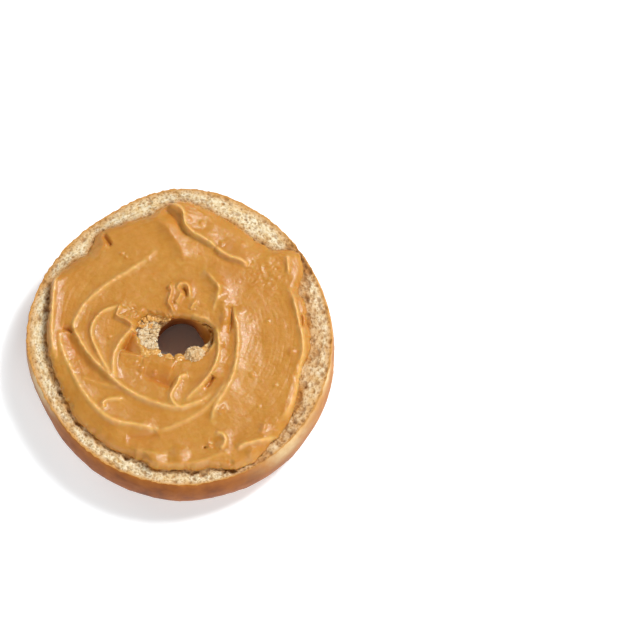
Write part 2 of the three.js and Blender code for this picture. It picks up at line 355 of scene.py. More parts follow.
def pore_places():
    """Seeded pore centres in the bare band and on the torn crumb round the hole."""
    angle = rng.uniform(0, TURN, PORES)
    inside = outer_edge(angle) - UNDER_SPREAD
    radius = inside + (rim_radius(angle) - RIM_WALL - inside) * rng.uniform(0, 1, PORES)
    hole_angle = rng.uniform(0, TURN, HOLE_PORES)
    hole_radius = lip_radius(hole_angle) + rng.uniform(0, HOLE_BAND, HOLE_PORES)
    return np.concatenate([angle, hole_angle]), np.concatenate([radius, hole_radius])


def pore_sizes(angles):
    """A seeded radius and stretch for each pore."""
    sizes = np.clip(PORE_RADIUS * rng.lognormal(0, PORE_UNEVENNESS, len(angles)), *PORE_LIMITS)
    sizes *= 1 + LARGER_ON_RIGHT * np.clip(np.cos(angles), 0, 1)
    return sizes, rng.uniform(*PORE_STRETCHES, len(angles))


pore_angles, pore_radii = pore_places()
pore_widths, pore_stretches = pore_sizes(pore_angles)
print("pores:", len(pore_angles), "mean radius, mm:", pore_widths.mean().round(2))

# %% [markdown]
# A k-d tree finds the vertices near each pore quickly. How deep a vertex sits in its pore is
# returned, to be kept as an attribute, so that the material can darken it as painted shade.

# %% How pores are pressed
PORE_DEPTH = 0.9


def press_pores(points, chosen):
    """Lowers the chosen vertices into pores and returns how deep in a pore each vertex sits, for
    painted shade.
    """
    indices = np.flatnonzero(chosen)
    tree = kdtree.KDTree(len(indices))
    for i in indices:
        tree.insert((points[i, 0], points[i, 1], 0), i)
    tree.balance()
    depth = np.zeros(len(points))
    drop = np.zeros(len(points))
    for angle, radius, size, stretch in zip(pore_angles, pore_radii, pore_widths, pore_stretches):
        centre = Vector((radius * math.cos(angle), radius * math.sin(angle), 0))
        along = Vector((-math.sin(angle), math.cos(angle), 0))
        for place, i, _ in tree.find_range(centre, size * stretch):
            offset = place - centre
            run = offset.dot(along)
            aside = offset.length_squared - run**2
            inside = 1 - (run / (size * stretch)) ** 2 - aside / size**2
            if inside > 0:
                depth[i] = max(depth[i], inside)
                drop[i] = max(drop[i], PORE_DEPTH * size * math.sqrt(inside))
    points[:, 2] -= drop
    return depth


print("deepest pore, mm:", (PORE_DEPTH * pore_widths.max()).round(2))

# %% [markdown]
# Between the pores the crumb is a finer foam. Noise that is folded at zero gives it: thin walls
# where the noise changes sign, and bubbles between them. Round the hole the crumb was torn and not
# cut, so it is rougher there, and beside the spread some of it came away and left hollows. The
# gaps and the deepest bubbles are painted darker too, as painted shade, and less so round the hole.

# %% Press the foam, the pores and the hollows
BAND_MIDDLE = 52
PORE_STRETCH = 1.7
FOAM_GAIN = 1.6
FOAM_DEPTH = 0.45
FOAM_FADE = 0.6
COARSE_FOAM = {"size": 1.5, "share": 0.6}
FINE_FOAM = {"size": 0.8, "share": 0.4}
TORN_ZONE = (12, 17)
SLOW_GRAIN = {"size": 3.2, "depth": 0.25}
TORN_GRAIN = {"size": 1.7, "depth": 1.1}
FINE_GRAIN = {"size": 0.8, "depth": 0.5}
GAP_TEAR = {"size": 1.1, "share": 0.9}
GAP_SHADE = 0.5
FOAM_SHADE = 0.3
DEEP_BUBBLES = (0.5, 1)
PALER_AT_HOLE = 0.7
GAPS = [
    # Hollows where the crumb tore away: the middle in X and Y, the radius and the depth.
    (-43.4, -21.5, 2.2, 1.5), (-39.6, -28.4, 1.6, 1.1), (-36.4, -33.2, 2, 1.4),
    (-18, -46.8, 1.8, 1.3), (-14.4, -49.8, 1.6, 1.3), (20.6, -51, 2.2, 1.6),
    (17.6, -51.6, 1.8, 1.3), (9.6, -52.8, 1.4, 1), (46.8, -19.6, 1.5, 1.2), (43, -33, 1.5, 1.2),
    (40.8, -37.6, 1.9, 1.4), (46.8, 15, 1.6, 1.2), (-49.6, 15.5, 1.6, 1.3), (-49.8, 11, 1.6, 1.3),
]


def along_the_ring(points, stretch):
    """A place in millimetres in which patterns come out longer along the ring than across it."""
    radius, angle = as_polar(points)
    turned = BAND_MIDDLE / stretch * np.column_stack([np.cos(angle), np.sin(angle)])
    return np.column_stack([radius + points[:, 2], turned])


def foam(points, size, share):
    """Bread foam: 0 on the walls between bubbles and up to its share in them."""
    return share * (FOAM_GAIN * np.abs(lumps(along_the_ring(points, PORE_STRETCH), size)))


def grain(points, size, depth):
    """Noise of the given lump size and depth."""
    return lumps(points, size) * depth


bread_radius, bread_angle = as_polar(bread_points)
near_hole = 1 - smooth(bread_radius, *TORN_ZONE)
inside_rim = smooth(rim_radius(bread_angle) - bread_radius, 0, FOAM_FADE)
torn_grain = grain(bread_points + 90, **TORN_GRAIN) + grain(bread_points + 120, **FINE_GRAIN)
all_grain = grain(bread_points + 50, **SLOW_GRAIN) + near_hole * torn_grain
bread_points[:, 2] += on_cut * inside_rim * all_grain
crumb_seen = on_cut & ((bread_radius > BARE_ZONE) | (bread_radius < LIP_ZONE))
bubbles = np.zeros(len(bread_points))
seen = bread_points[crumb_seen]
bubbles[crumb_seen] = foam(seen, **COARSE_FOAM) + foam(seen, **FINE_FOAM)
bread_points[:, 2] -= inside_rim * FOAM_DEPTH * bubbles
painted_pore_shade = press_pores(bread_points, crumb_seen)
ragged = 1 + GAP_TEAR["share"] * lumps(bread_points + 160, GAP_TEAR["size"])
# The gaps and the deepest bubbles are sunk and also painted darker, as painted shade.
for x, y, radius, depth in GAPS:
    hump = mound(bread_points[:, 0] - x, bread_points[:, 1] - y, radius)
    hollow_and_shade = on_cut * np.clip(ragged * hump, 0, 1)
    bread_points[:, 2] -= depth * hollow_and_shade
    painted_pore_shade = np.maximum(painted_pore_shade, GAP_SHADE * hollow_and_shade)
painted_pore_shade = np.maximum(painted_pore_shade, FOAM_SHADE * smooth(bubbles, *DEEP_BUBBLES))
painted_pore_shade *= 1 - PALER_AT_HOLE * near_hole
print("share of vertices darker than foam:", (painted_pore_shade > FOAM_SHADE).mean().round(3))

# %% [markdown]
# ## Blisters on the crust
# Boiling and a hot oven leave a smooth crust with slow swells and small flat blisters. They are a
# fraction of a millimetre high, but they break up the light along the crust's shoulder.

# %% Raise the blisters
BLISTERS = 150
BLISTER_HEIGHTS = (3, 17)
BLISTER_RADII = (0.7, 2.2)
BLISTER_RISES = (0.08, 0.22)
BELOW_RIM_FADE = 2
BROAD_SWELL = {"size": 14, "depth": 0.35}
SMALL_SWELL = {"size": 5, "depth": 0.12}

crust_out = on_circle(bread_angle, 1)
below_rim = CUT_HEIGHT - bread_points[:, 2]
on_crust = ~on_cut & (bread_radius > FOOT_OUTER)
swell = grain(bread_points, **BROAD_SWELL) + grain(bread_points + 20, **SMALL_SWELL)
for _ in range(BLISTERS):
    angle = rng.uniform(0, TURN)
    height = rng.uniform(*BLISTER_HEIGHTS)
    size = rng.uniform(*BLISTER_RADII)
    away = np.angle(np.exp(1j * (bread_angle - angle))) * RIM_RADIUS
    swell += rng.uniform(*BLISTER_RISES) * mound(away, bread_points[:, 2] - height, size)
swell *= on_crust * smooth(below_rim, 0, BELOW_RIM_FADE)
bread_points += swell[:, None] * crust_out
print("blisters:", BLISTERS, "largest swell, mm:", swell.max().round(2))

# %% [markdown]
# ## What the bread's colours follow
# The oven browned the crust unevenly and toasted the cut's very edge, and oil from the spread
# stains the crumb beside it. The hole's wall is darker toward the back, partly browning and partly
# painted shade. Each of these is a distance or a place on the bread, so it is kept on the vertices
# as an attribute and the materials turn it into colour.

# %% Make the bread
PALE_CRUST = [
    {"angle": 316, "spread": 13, "height": 18, "reach": 4.2},
    {"angle": 201, "spread": 11, "height": 18, "reach": 3},
    {"angle": 345, "spread": 7, "height": 18.4, "reach": 1.6},
]
BARE_LEFT = {"angle": 180, "spread": 22, "fade": 16}
HOLE_SIDE = 30

baked = round_the_ring([0.4, 0.36, 0.42, 0.42, 0.42, 0.44, 0.54, 0.74, 0.8, 0.84, 0.72, 0.5])
# The hole's wall is browned by its own list, darkest at the back, where that darkness is partly
# painted shade.
wall_browning_and_shade = round_the_ring([0.36, 0.44, 0.62, 0.74, 0.74, 0.7, 0.55, 0.5, 0.5, 0.5, 0.46, 0.38])
smear_width = round_the_ring([9, 6, 3, 3, 2.5, 3, 2, 4, 3, 1.5, 4, 8])
toast_width = round_the_ring([1, 1, 1, 0.9, 1, 1.1, 1, 0.9, 0.7, 0.5, 0.6, 1])


def pale_crust(angle, height):
    """Patches of the shoulder that the oven left pale."""
    pale = np.zeros(len(angle))
    for patch in PALE_CRUST:
        aside = apart(angle, patch["angle"]) / patch["spread"]
        pale += np.exp(-(aside**2) - ((height - patch["height"]) / patch["reach"]) ** 2)
    return np.clip(pale, 0, 1)


def smeared(radius, angle):
    """Where the knife or the oil left a film of spread on the crumb."""
    outside = 1 - smooth((radius - outer_edge(angle)) / smear_width(angle), 0, 1)
    aside = np.abs(apart(angle, BARE_LEFT["angle"])) - BARE_LEFT["spread"]
    return np.where(radius > HOLE_SIDE, outside, smooth(aside, 0, BARE_LEFT["fade"]))


bread_attributes = {
    "pore": painted_pore_shade,
    "from_rim": (rim_radius(bread_angle) - bread_radius) / toast_width(bread_angle),
    "smear": smeared(bread_radius, bread_angle),
    "below_rim": below_rim,
    "baked": np.where(bread_radius < FOOT_INNER, wall_browning_and_shade(bread_angle), baked(bread_angle)),
    "pale": pale_crust(bread_angle, bread_points[:, 2]),
    "crumb_place": along_the_ring(bread_points, PORE_STRETCH),
}
bread = mesh_piece("bagel_bread", bread_bm, bread_points, bread_attributes)
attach(bread, "root")
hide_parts("bagel_half")

# %% [markdown]
# ## The knife's strokes
# A knife drags the spread into long ridges that curl round the hole, steep on one side and easy on
# the other. Each stroke here is a smooth curve through a few measured points. The height it adds
# changes along it and falls away from its crest over one distance on the left, as the stroke runs,
# and another on the right. A negative height makes a groove. A thin bead of spread stands along
# some crests, as a knife's edge leaves it. All sizes are in millimetres.

# %% The strokes
STROKES = [
    # The tall lip along the left edge, down to the front.
    {
        "points": [
            (-44.8, 26), (-46.3, 23), (-46.9, 18), (-46.8, 12), (-47, 6), (-46.9, 0), (-46.2, -5),
            (-44.8, -9.5),
        ],
        "heights": (1.2, 1.7, 1.7, 1.5, 1.3, 1, 0.7, 0.3),
        "falls": (1.7, 1.4), "soft": 0.9, "bead": 0.4,
    },
    # The long outer swirl and the trough on its outer side.
    {
        "points": [
            (-9, 33.5), (-14, 28.6), (-20, 24.2), (-26, 20.3), (-31, 16), (-35, 11.8), (-37.7, 7),
            (-39, 2.5), (-37.3, -1), (-34.5, -6), (-31.5, -10), (-27.5, -14.3), (-22.5, -19),
            (-16, -23.5), (-10, -26.3), (-4, -28.3), (1, -28.9), (6, -27.5), (10, -25.6),
            (13, -22.8),
        ],
        "heights": (0.5, 0.5, 0.5, 0.6, 0.9, 1.6, 1.8, 1.7, 1.4, 1.1, 0.9, 0.7),
        "falls": (2.4, 1.9), "bead": 0.5,
    },
    {
        "points": [(-41.5, 1), (-39, -4.5), (-35.5, -9.5), (-31.5, -14), (-27, -18)],
        "heights": (-1, -1.1, -0.9, -0.6, -0.2), "falls": (1.5, 1.8), "soft": 0.9,
    },
    # The inner swirl and the arc inside it.
    {
        "points": [
            (-21.8, 10.6), (-25.5, 9.8), (-29, 7.8), (-31.5, 4.2), (-32.2, 0.5), (-31.2, -3.8),
            (-29, -8.3), (-26.5, -12.8), (-24, -17),
        ],
        "heights": (0.8, 1.2, 1.4, 1.4, 1.2, 0.9), "falls": (2.6, 0.9), "bead": 0.5,
    },
    {
        "points": [
            (-15.8, 2.4), (-18.5, 0.2), (-21, -3), (-22.9, -6.5), (-23.6, -10), (-23.4, -14),
            (-22.6, -18),
        ],
        "heights": (0.7, 1, 1.1, 1, 0.8), "falls": (3, 1.4), "soft": 0.5, "bead": 0.5,
    },
    # The step with its sharp tip, the flap below it, the crest beside the hole and the nick.
    {
        "points": [(-21.7, 11.2), (-22.6, 8.6), (-23, 6.9), (-20.5, 5.6), (-18, 3.9), (-15.6, 1.8)],
        "heights": (1.2, 1.7, 1.7, 1.6, 1.5, 1.2), "falls": (3.4, 0.5), "bead": 0.25,
    },
    {
        "points": [(-16.8, 1), (-18.4, -2.4), (-20.3, -6.2)],
        "heights": (-1.2, -2.2, -2.8), "falls": (3, 0.5),
    },
    {
        "points": [(-21.4, -7.9), (-17.5, -8.3), (-13.2, -9.3)],
        "heights": (0.9, 1.3, 0.8), "falls": (0.5, 3), "bead": 0.1,
    },
    {
        "points": [(-15.6, 1.5), (-14.4, -2.5), (-13.2, -6), (-12.4, -9)],
        "heights": (0.6, 1.2, 1.4, 0.8), "falls": (1.2, 2.2), "soft": 0.4, "bead": 0.2,
    },
    {
        "points": [(-43, 2), (-40.8, 1.8), (-39.2, 0.4)],
        "heights": (-1.2, -2.4, -1.2), "falls": (0.8, 0.4),
    },
    # The broad ridge across the lower left, the thin line after it, a loop and a branch.
    {
        "points": [
            (-44, 1), (-43.3, -4), (-41.5, -9), (-39, -14), (-36.3, -19.5), (-33.5, -24),
            (-30.5, -27.6), (-27.5, -30.8), (-24, -33.2), (-20, -34.5), (-15, -35.3), (-10, -36.3),
            (-6, -37.3),
        ],
        "heights": (0.5, 0.7, 1, 1.3, 1.5, 1.5, 1.4, 1, 0.4),
        "falls": (3.2, 2.4), "soft": 0.6, "bead": 0.4,
    },
    {
        "points": [
            (-7, -37.8), (-2, -36.3), (2, -34.4), (6, -32.4), (10, -29.6), (13.2, -26.3),
            (16, -22.5), (18, -18.5),
        ],
        "heights": (0.4, 0.5, 0.5, 0.4), "falls": (1.2, 0.6), "bead": 0.25,
    },
    {
        "points": [(-26.4, -29), (-26.9, -27.4), (-25.6, -26.1), (-23, -25.6), (-20, -25.5)],
        "heights": (0.6, 0.9, 0.8, 0.5, 0.2), "falls": (0.8, 0.7), "bead": 0.4,
    },
    {
        "points": [(-35, -17), (-30, -19), (-25, -20.5), (-21, -21)],
        "heights": (0.3, 0.35, 0.2), "falls": (1.2, 0.8), "bead": 0.1,
    },
    # The big ridge on the right of the hole, its groove, and the ring ridge with its nick.
    {
        "points": [
            (12.8, -33.5), (13.8, -29.5), (16, -25.5), (18.8, -20.5), (20.8, -15), (21.8, -9),
            (22.2, -3), (21.8, 2), (20.8, 6.5), (19.8, 10.5),
        ],
        "heights": (1.2, 1.4, 1.5, 1.5, 1.5, 1.5, 1.4, 1.1),
        "falls": (1.6, 3.5), "soft": 0.5, "bead": 0.4,
    },
    {
        "points": [(19.3, 11), (19.6, 7), (19.2, 3), (18.6, 0)],
        "heights": (-0.9, -1.6, -1.3, -0.4), "falls": (0.45, 0.45),
    },
    {
        "points": [
            (3.2, -26.3), (6, -22.8), (9, -20), (11.5, -16.8), (13.8, -12.5), (15, -7.5),
            (14.8, -2), (13.8, 2.5),
        ],
        "heights": (0.8, 1.2, 1.3, 1.3, 1.2, 1, 0.7), "falls": (1.2, 2.8), "soft": 0.4, "bead": 0.4,
    },
    {
        "points": [
            (5, 7.6), (6.8, 6.8), (9.9, 5.7), (12.4, 3.3), (13.7, 0), (13.1, -3.5), (11.3, -6.5),
        ],
        "heights": (0.3, 0.4, 0.4, 0.4, 0.3), "falls": (0.7, 0.7), "bead": 0.35,
    },
    {
        "points": [(10.3, -20.6), (11.8, -18.6), (13.2, -16.4)],
        "heights": (-2, -3, -2), "falls": (0.6, 0.6),
    },
    {
        "points": [
            (4, -16), (1.2, -16.8), (0.2, -18.8), (-1.2, -21.5), (-2.2, -24.2), (-1.3, -26.8),
            (1, -28.5),
        ],
        "heights": (0.5, 0.7, 0.8, 0.8, 0.7, 0.5), "falls": (1.7, 0.8), "bead": 0.45,
    },
    {
        "points": [(-13, -10.6), (-7, -11.8), (-1.5, -14)],
        "heights": (0.5, 1, 0.8), "falls": (2.4, 3), "soft": 1.2,
    },
    {
        "points": [(-13, -15.2), (-7, -18), (-2, -20.4)],
        "heights": (-0.9, -1.7, -1.2), "falls": (3.2, 0.9), "soft": 0.7,
    },
    {
        "points": [(17.9, -28.2), (16.6, -29.6), (15.6, -31.2)],
        "heights": (0.4, 0.6, 0.4), "falls": (0.7, 0.7), "soft": 0.4,
    },
    # The thick fold at the back, the crevice under it, and the smaller one before its end.
    {
        "points": [(-6.6, 50.4), (-3.4, 47.6), (-1.2, 44.6), (0.6, 41.6), (3.4, 38.8)],
        "heights": (-1.2, -1.2, -0.9, -0.6, -0.2), "falls": (0.6, 0.9), "soft": 0.4,
    },
    {
        "points": [
            (-5.8, 53), (-2.8, 51), (-0.3, 49.4), (0.9, 47.4), (1.2, 44.8), (2.3, 42), (5, 39.5),
            (8.5, 37.5), (11.5, 35.6), (13.2, 34.2),
        ],
        "heights": (1.6, 2.3, 2.4, 2.1, 1.9, 1.7, 1.4, 0.9),
        "falls": (4, 0.4), "soft": 0.3, "bead": 0.6,
    },
    {
        "points": [(13, 34.2), (15, 32.4), (17.8, 30.6), (20.5, 29.6), (23.2, 28.5), (25.6, 26.9)],
        "heights": (1.1, 1.8, 1.6, 1.3, 0.6), "falls": (1.8, 0.6), "bead": 0.45,
    },
    # A soft facet on the fold's left, a sharper one behind the hole and the curl between them.
    {
        "points": [
            (-15, 46.2), (-10, 45.6), (-6.5, 43.4), (-4, 40.3), (-1.8, 37.2), (0.2, 34), (1.2, 31),
            (1.6, 29),
        ],
        "heights": (0.5, 1.1, 1.6, 1.6, 1.4, 1.2, 0.7), "falls": (3.2, 2), "soft": 1,
    },
    {
        "points": [
            (9.4, 25.4), (12, 21.6), (14.3, 18.6), (14.8, 16.4), (14, 13.6), (13.2, 11),
            (12.6, 8.6),
        ],
        "heights": (0.7, 1.9, 2.7, 2.4, 1.4, 0.6, 0.1),
        "falls": (2.8, 3), "soft": 0.4, "bead": 0.25,
    },
    {
        "points": [(16, 15.5), (16.6, 11), (16.8, 7), (16.2, 2.5), (16.2, -2), (15.4, -6)],
        "heights": (0.1, 0.8, 1.1, 1, 0.6, 0.1), "falls": (2, 2), "soft": 0.9,
    },
    {
        "points": [(-0.9, 17.6), (0, 19), (1.5, 19.6), (3, 18.8), (3.7, 16.6), (3.8, 14.2)],
        "heights": (0.8, 1.2, 1.4, 1.3, 1.1, 0.6), "falls": (0.8, 0.6), "soft": 0.4, "bead": 0.35,
    },
    {
        "points": [(-1.3, 12), (0, 14), (0.9, 16)],
        "heights": (0.9, 1.1, 0.9), "falls": (0.6, 0.6), "bead": 0.3,
    },
    {
        "points": [(0.4, 17.9), (1.5, 18.1), (2.4, 16.6), (2.6, 14.4)],
        "heights": (-0.7, -1.3, -1.1, -0.4), "falls": (0.5, 0.5),
    },
    {
        "points": [(-4, 19.2), (-2.9, 17.2), (-3.4, 14.6), (-4, 12.2), (-2.9, 10.2), (-2.2, 8.2)],
        "heights": (1.2, 0.9, 0.8, 1.1, 1.2, 0.8), "falls": (0.8, 0.8), "soft": 0.4, "bead": 0.2,
    },
    {
        "points": [(4.4, 9.5), (5.1, 11.2), (6.6, 13)],
        "heights": (0.5, 0.7, 0.4), "falls": (0.7, 0.7), "bead": 0.2,
    },
    # The lips of the right edge.
    {
        "points": [
            (40.8, 18), (42.4, 14.2), (43.3, 10.3), (44.2, 6.5), (45.2, 2), (46, -3), (46, -8),
            (45.1, -13), (44.3, -17.5), (43.6, -22), (42.6, -25.5), (41, -29), (39.6, -32),
        ],
        "heights": (0.8, 1.2, 1.3, 1.1, 0.9, 0.8, 0.7, 0.9, 1), "falls": (1.8, 1.4), "bead": 0.35,
    },
    {
        "points": [(40.2, 31), (40.3, 28), (40.6, 24)],
        "heights": (0.6, 0.9, 0.6), "falls": (0.7, 0.8), "bead": 0.3,
    },
    {
        "points": [(44.6, 18.5), (45.6, 16), (46.6, 13.4)],
        "heights": (-1, -1.6, -1), "falls": (0.4, 0.4),
    },
    {
        "points": [(45.3, 7.5), (45.6, 5), (45.4, 2.5)],
        "heights": (-1, -1.4, -1), "falls": (0.4, 0.4),
    },
    # Ridges along the front edge and the curl beside them.
    {
        "points": [(22, -44.6), (25, -42.9), (28.5, -41.9), (32, -41.1), (36, -39.6)],
        "heights": (0.5, 1, 1.1, 0.9, 0.5), "falls": (1.6, 0.7), "bead": 0.35,
    },
    {
        "points": [(-15, -44.6), (-11, -45.7), (-7, -46.4), (-2.5, -46.6)],
        "heights": (0.3, 0.35, 0.2, 0.1), "falls": (1.2, 1.6), "bead": 0.12,
    },
    {
        "points": [(-9, -50), (0, -50.6), (6, -49.7), (11, -48.5), (16, -46.6), (20, -46)],
        "heights": (0.5, 0.7, 0.6, 0.5, 0.4), "falls": (1, 1.2), "bead": 0.15,
    },
    {
        "points": [(14.2, -38.2), (16.8, -38.9), (18, -41), (17.4, -43.2), (16.2, -44.7)],
        "heights": (0.5, 0.8, 0.9, 0.8, 0.5), "falls": (1.8, 1.2), "soft": 0.5, "bead": 0.5,
    },
    {
        "points": [(32.3, -34.6), (31.8, -36.8), (31, -39)],
        "heights": (0.7, 1, 0.7), "falls": (0.9, 0.9), "soft": 0.5, "bead": 0.1,
    },
    {
        "points": [(-18, -40), (-10, -39.5), (-7, -38)],
        "heights": (-0.7, -1, -0.5), "falls": (1.3, 1.5), "soft": 0.6,
    },
    # The slit at the upper left and the rim that the knife pushed up beside it.
    {
        "points": [(-29, 40), (-27.8, 38), (-26.4, 35.7)],
        "heights": (-1.6, -2.6, -3), "falls": (0.32, 0.32),
    },
    {
        "points": [(-30.4, 39.3), (-29.4, 37), (-28, 35)],
        "heights": (0.3, 0.5, 0.5), "falls": (1, 1.6), "soft": 0.8,
    },
]
print("strokes:", len(STROKES))

# %% [markdown]
# Now the strokes become heights. Every vertex of the spread looks for the nearest place on each
# stroke that passes by: how far away it is, how far along, and on which side. From those come the
# ridge and its bead and, for the colours, the bead's share, painted paler as a glow, and how close
# the vertex lies to the foot of a steep wall, painted as shade.

# %% From strokes to heights
CREST_SOFT = 0.3
CREST_GAIN = 1.15
CREST_WAVES = {"size": 4.5, "share": 0.22}
BEAD_WIDTH = 0.8
BEAD_GAIN = 0.95
FULL_BEAD = 0.4
BEAD_BREAKS = {"size": 1.6, "share": 0.5}
# The wall steepness, its reach and the groove share below place the painted shade that reddens the
# tan.
STEEP = 0.5
HOLLOW_SHADE_FALLS = 2
GROOVE_SHADE = 0.6
STROKE_STEPS = 60
STROKE_TAPER = 0.12
STROKE_REACH = 5


def stroke_path(points):
    """Even steps along a Catmull-Rom curve through a stroke's points."""
    knots = np.array([points[0], *points, points[-1]], float)
    place = np.linspace(0, len(points) - 1, STROKE_STEPS + 1)
    first = np.minimum(place.astype(int), len(points) - 2)
    t = (place - first)[:, None]
    a, b, c, d = (knots[first + step] for step in range(4))
    return b + 0.5 * t * (c - a + t * (2 * a - 5 * b + 4 * c - d + t * (3 * (b - c) + d - a)))


def nearest_on(path, spots):
    """For each spot: its distance to the path, how far along it lies and how much to the left."""
    closest = np.argmin(np.hypot(*(spots[:, None] - path[None]).transpose(2, 0, 1)), axis=1)
    best = [np.full(len(spots), np.inf), np.zeros(len(spots)), np.zeros(len(spots))]
    for start in (np.maximum(closest - 1, 0), np.minimum(closest, STROKE_STEPS - 1)):
        step = path[start + 1] - path[start]
        offset = spots - path[start]
        length = np.hypot(*step.T)
        t = np.clip((offset * step).sum(1) / length**2, 0, 1)
        distance = np.hypot(*(offset - t[:, None] * step).T)
        cross = step[:, 0] * offset[:, 1] - step[:, 1] * offset[:, 0]
        left = cross / (length * (distance + 1e-6))
        closer = distance < best[0]
        for kept, new in zip(best, (distance, (start + t) / STROKE_STEPS, left)):
            kept[closer] = new[closer]
    return best


def stroke_relief(spots, breaks, waves, points, heights, falls, soft=CREST_SOFT, bead=0):
    """Three rows for a stroke: the height it adds, its bead's share for a painted glow, and its
    painted shade.
    """
    path = stroke_path(points)
    reach = STROKE_REACH * max(falls)
    near = np.all((spots > path.min(0) - reach) & (spots < path.max(0) + reach), axis=1)
    distance, along, left = nearest_on(path, spots[near])
    fall = falls[1] + (falls[0] - falls[1]) * (0.5 + 0.5 * np.clip(left, -1, 1))
    ends = smooth(np.minimum(along, 1 - along), -0.5 * STROKE_TAPER, STROKE_TAPER)
    crest = CREST_GAIN * np.interp(along, np.linspace(0, 1, len(heights)), heights)
    crest *= 1 + CREST_WAVES["share"] * waves[near]
    ridge = crest * np.exp(-(np.hypot(distance, soft) - soft) / fall)
    broken = 1 + BEAD_BREAKS["share"] * breaks[near]
    line = ends * broken * np.exp(-((distance / BEAD_WIDTH) ** 2))
    wall = np.clip(crest / fall - STEEP, 0, 1) * np.exp(-distance / (HOLLOW_SHADE_FALLS * fall))
    relief = np.zeros((3, len(spots)))
    relief[0, near] = ends * ridge + BEAD_GAIN * bead * line
    relief[1, near] = min(1, bead / FULL_BEAD) * line
    relief[2, near] = ends * np.where(crest > 0, wall, np.minimum(1, -GROOVE_SHADE * ridge))
    return relief


steps = [np.diff(stroke_path(stroke["points"]), axis=0) for stroke in STROKES]
print("longest stroke, mm:", max(np.hypot(*step.T).sum() for step in steps).round())

# %% [markdown]
# ## Blobs, pits and the slow unevenness between the strokes
# Where the knife lifted it left rounded blobs, and a few bubbles burst into pits. Under all of it
# the spread has a slow unevenness from the crumb below, faint streaks round the hole from the
# knife's edge, and the grain of the ground nuts. Adding them all up gives the thickness.

# %% The spread's thickness
SPREAD = 2.9
THINNEST = 1.2
SLOW_LUMPS = {"size": 11, "depth": 0.4}
SMALL_LUMPS = {"size": 4, "depth": 0.18}
NUT_GRAIN = {"size": 0.8, "depth": 0.03}
BREAK_DEPTH = 0.05
STREAK = {"width": 0.8, "turns": 5, "depth": 0.08}
TORN_SIZES = {"coarse": 2.2, "fine": 1, "fine_share": 0.6}
BLOBS = [
    # The middle in X and Y, the radius and the height, or the depth where it is negative.
    (-8.2, -49, 5.6, 1.5), (1.4, -46.6, 4.6, 1.2), (-32, 38.5, 5, -1.2), (27.5, -45.6, 2.6, 0.9),
    (31, -46.6, 1.3, -0.8), (33.2, -43.2, 1.3, -0.9), (13.6, -42, 2.4, -0.6),
    (10.5, -43.7, 0.7, -1.5), (12.4, -43.3, 1.3, 0.8), (20, -49.4, 1.6, -1.1),
    (27.6, -16.2, 1.6, 0.6), (42, -7, 2.2, 0.7), (-22, 32, 1.3, 0.5), (-20.4, 30.6, 1, 0.4),
    (-8.5, -15, 1.3, 0.5), (-13.6, -13.6, 1.7, 0.7), (-15.4, -11.6, 1.3, 0.5),
    (-25.5, -1, 1.4, 0.4), (-3, 19.2, 1.3, 0.6), (-4.1, 18, 1.2, 0.6), (16.8, 12, 4, 0.6),
    (17, 5, 2.4, 0.5), (8, 44, 1.8, 0.5), (3, 45, 1.8, 0.5), (15.4, 36, 1.6, 0.7),
    (16.5, -4.5, 1.5, 0.4), (33, 5, 1.3, 0.4), (36, -20, 1.2, 0.4), (30, -28, 1.2, 0.35),
    (-43, -21, 1.8, -1.2), (-39, -28, 1.6, -1.2), (-36, -33, 1.4, -1),
]
ROUGH_PATCHES = [
    # Where the spread was dragged thin and its surface tore: the middle, radius and roughness.
    (32, 24, 13, 0.34), (-16, 7.5, 6, 0.7), (-18, -11, 5, 0.3), (30, -46, 7, 0.45),
    (17, 12, 5, 0.25), (24.5, 6, 7, 0.16), (17, -27, 7, 0.12), (-40, -11, 7, 0.2), (9, 39, 7, 0.1),
    (41, -30, 5, 0.35), (37, -36, 5, 0.35),
]


def spread_relief(spots):
    """The spread's thickness inside its edges, how far a spot is on a crest, for a painted glow,
    and how close it lies to the foot of a steep wall, for a painted shade.
    """
    flat = np.column_stack([spots, np.zeros(len(spots))])
    breaks, waves = lumps(flat + 200, BEAD_BREAKS["size"]), lumps(flat + 240, CREST_WAVES["size"])
    thickness = np.full(len(spots), float(SPREAD))
    crest = np.zeros(len(spots))
    hollow_and_shade = np.zeros(len(spots))
    for stroke in STROKES:
        height, line, low = stroke_relief(spots, breaks, waves, **stroke)
        thickness += height
        crest = np.maximum(crest, line)
        hollow_and_shade = np.maximum(hollow_and_shade, low)
    for x, y, radius, height in BLOBS:
        thickness += height * mound(spots[:, 0] - x, spots[:, 1] - y, radius)
    torn = np.zeros(len(spots))
    for x, y, radius, rough in ROUGH_PATCHES:
        torn += rough * mound(spots[:, 0] - x, spots[:, 1] - y, radius)
    fine = TORN_SIZES["fine_share"] * lumps(flat + 110, TORN_SIZES["fine"])
    thickness += torn * (lumps(flat + 80, TORN_SIZES["coarse"]) + fine)
    thickness += grain(flat, **SLOW_LUMPS) + grain(flat + 30, **SMALL_LUMPS) + breaks * BREAK_DEPTH
    radius, angle = as_polar(spots)
    turned = STREAK["turns"] * np.column_stack([np.cos(angle), np.sin(angle)])
    streaks = lumps(np.column_stack([radius / STREAK["width"], turned]), 1)
    thickness += streaks * STREAK["depth"] + grain(flat + 60, **NUT_GRAIN)
    return np.maximum(THINNEST, thickness), np.clip(crest, 0, 1), np.clip(hollow_and_shade - crest, 0, 1)


print("blobs and pits:", len(BLOBS), "rough patches:", len(ROUGH_PATCHES))

# %% [markdown]
# ## The spread itself
# It is turned like the bread, from a section that runs from the hole's edge to the outer edge.
# The top is raised by the thickness and rounded down to a blunt edge on both sides. The edge
# overhangs the crumb a little, which draws the dark line that shows under real peanut butter, and
# its outermost rows are torn finely.

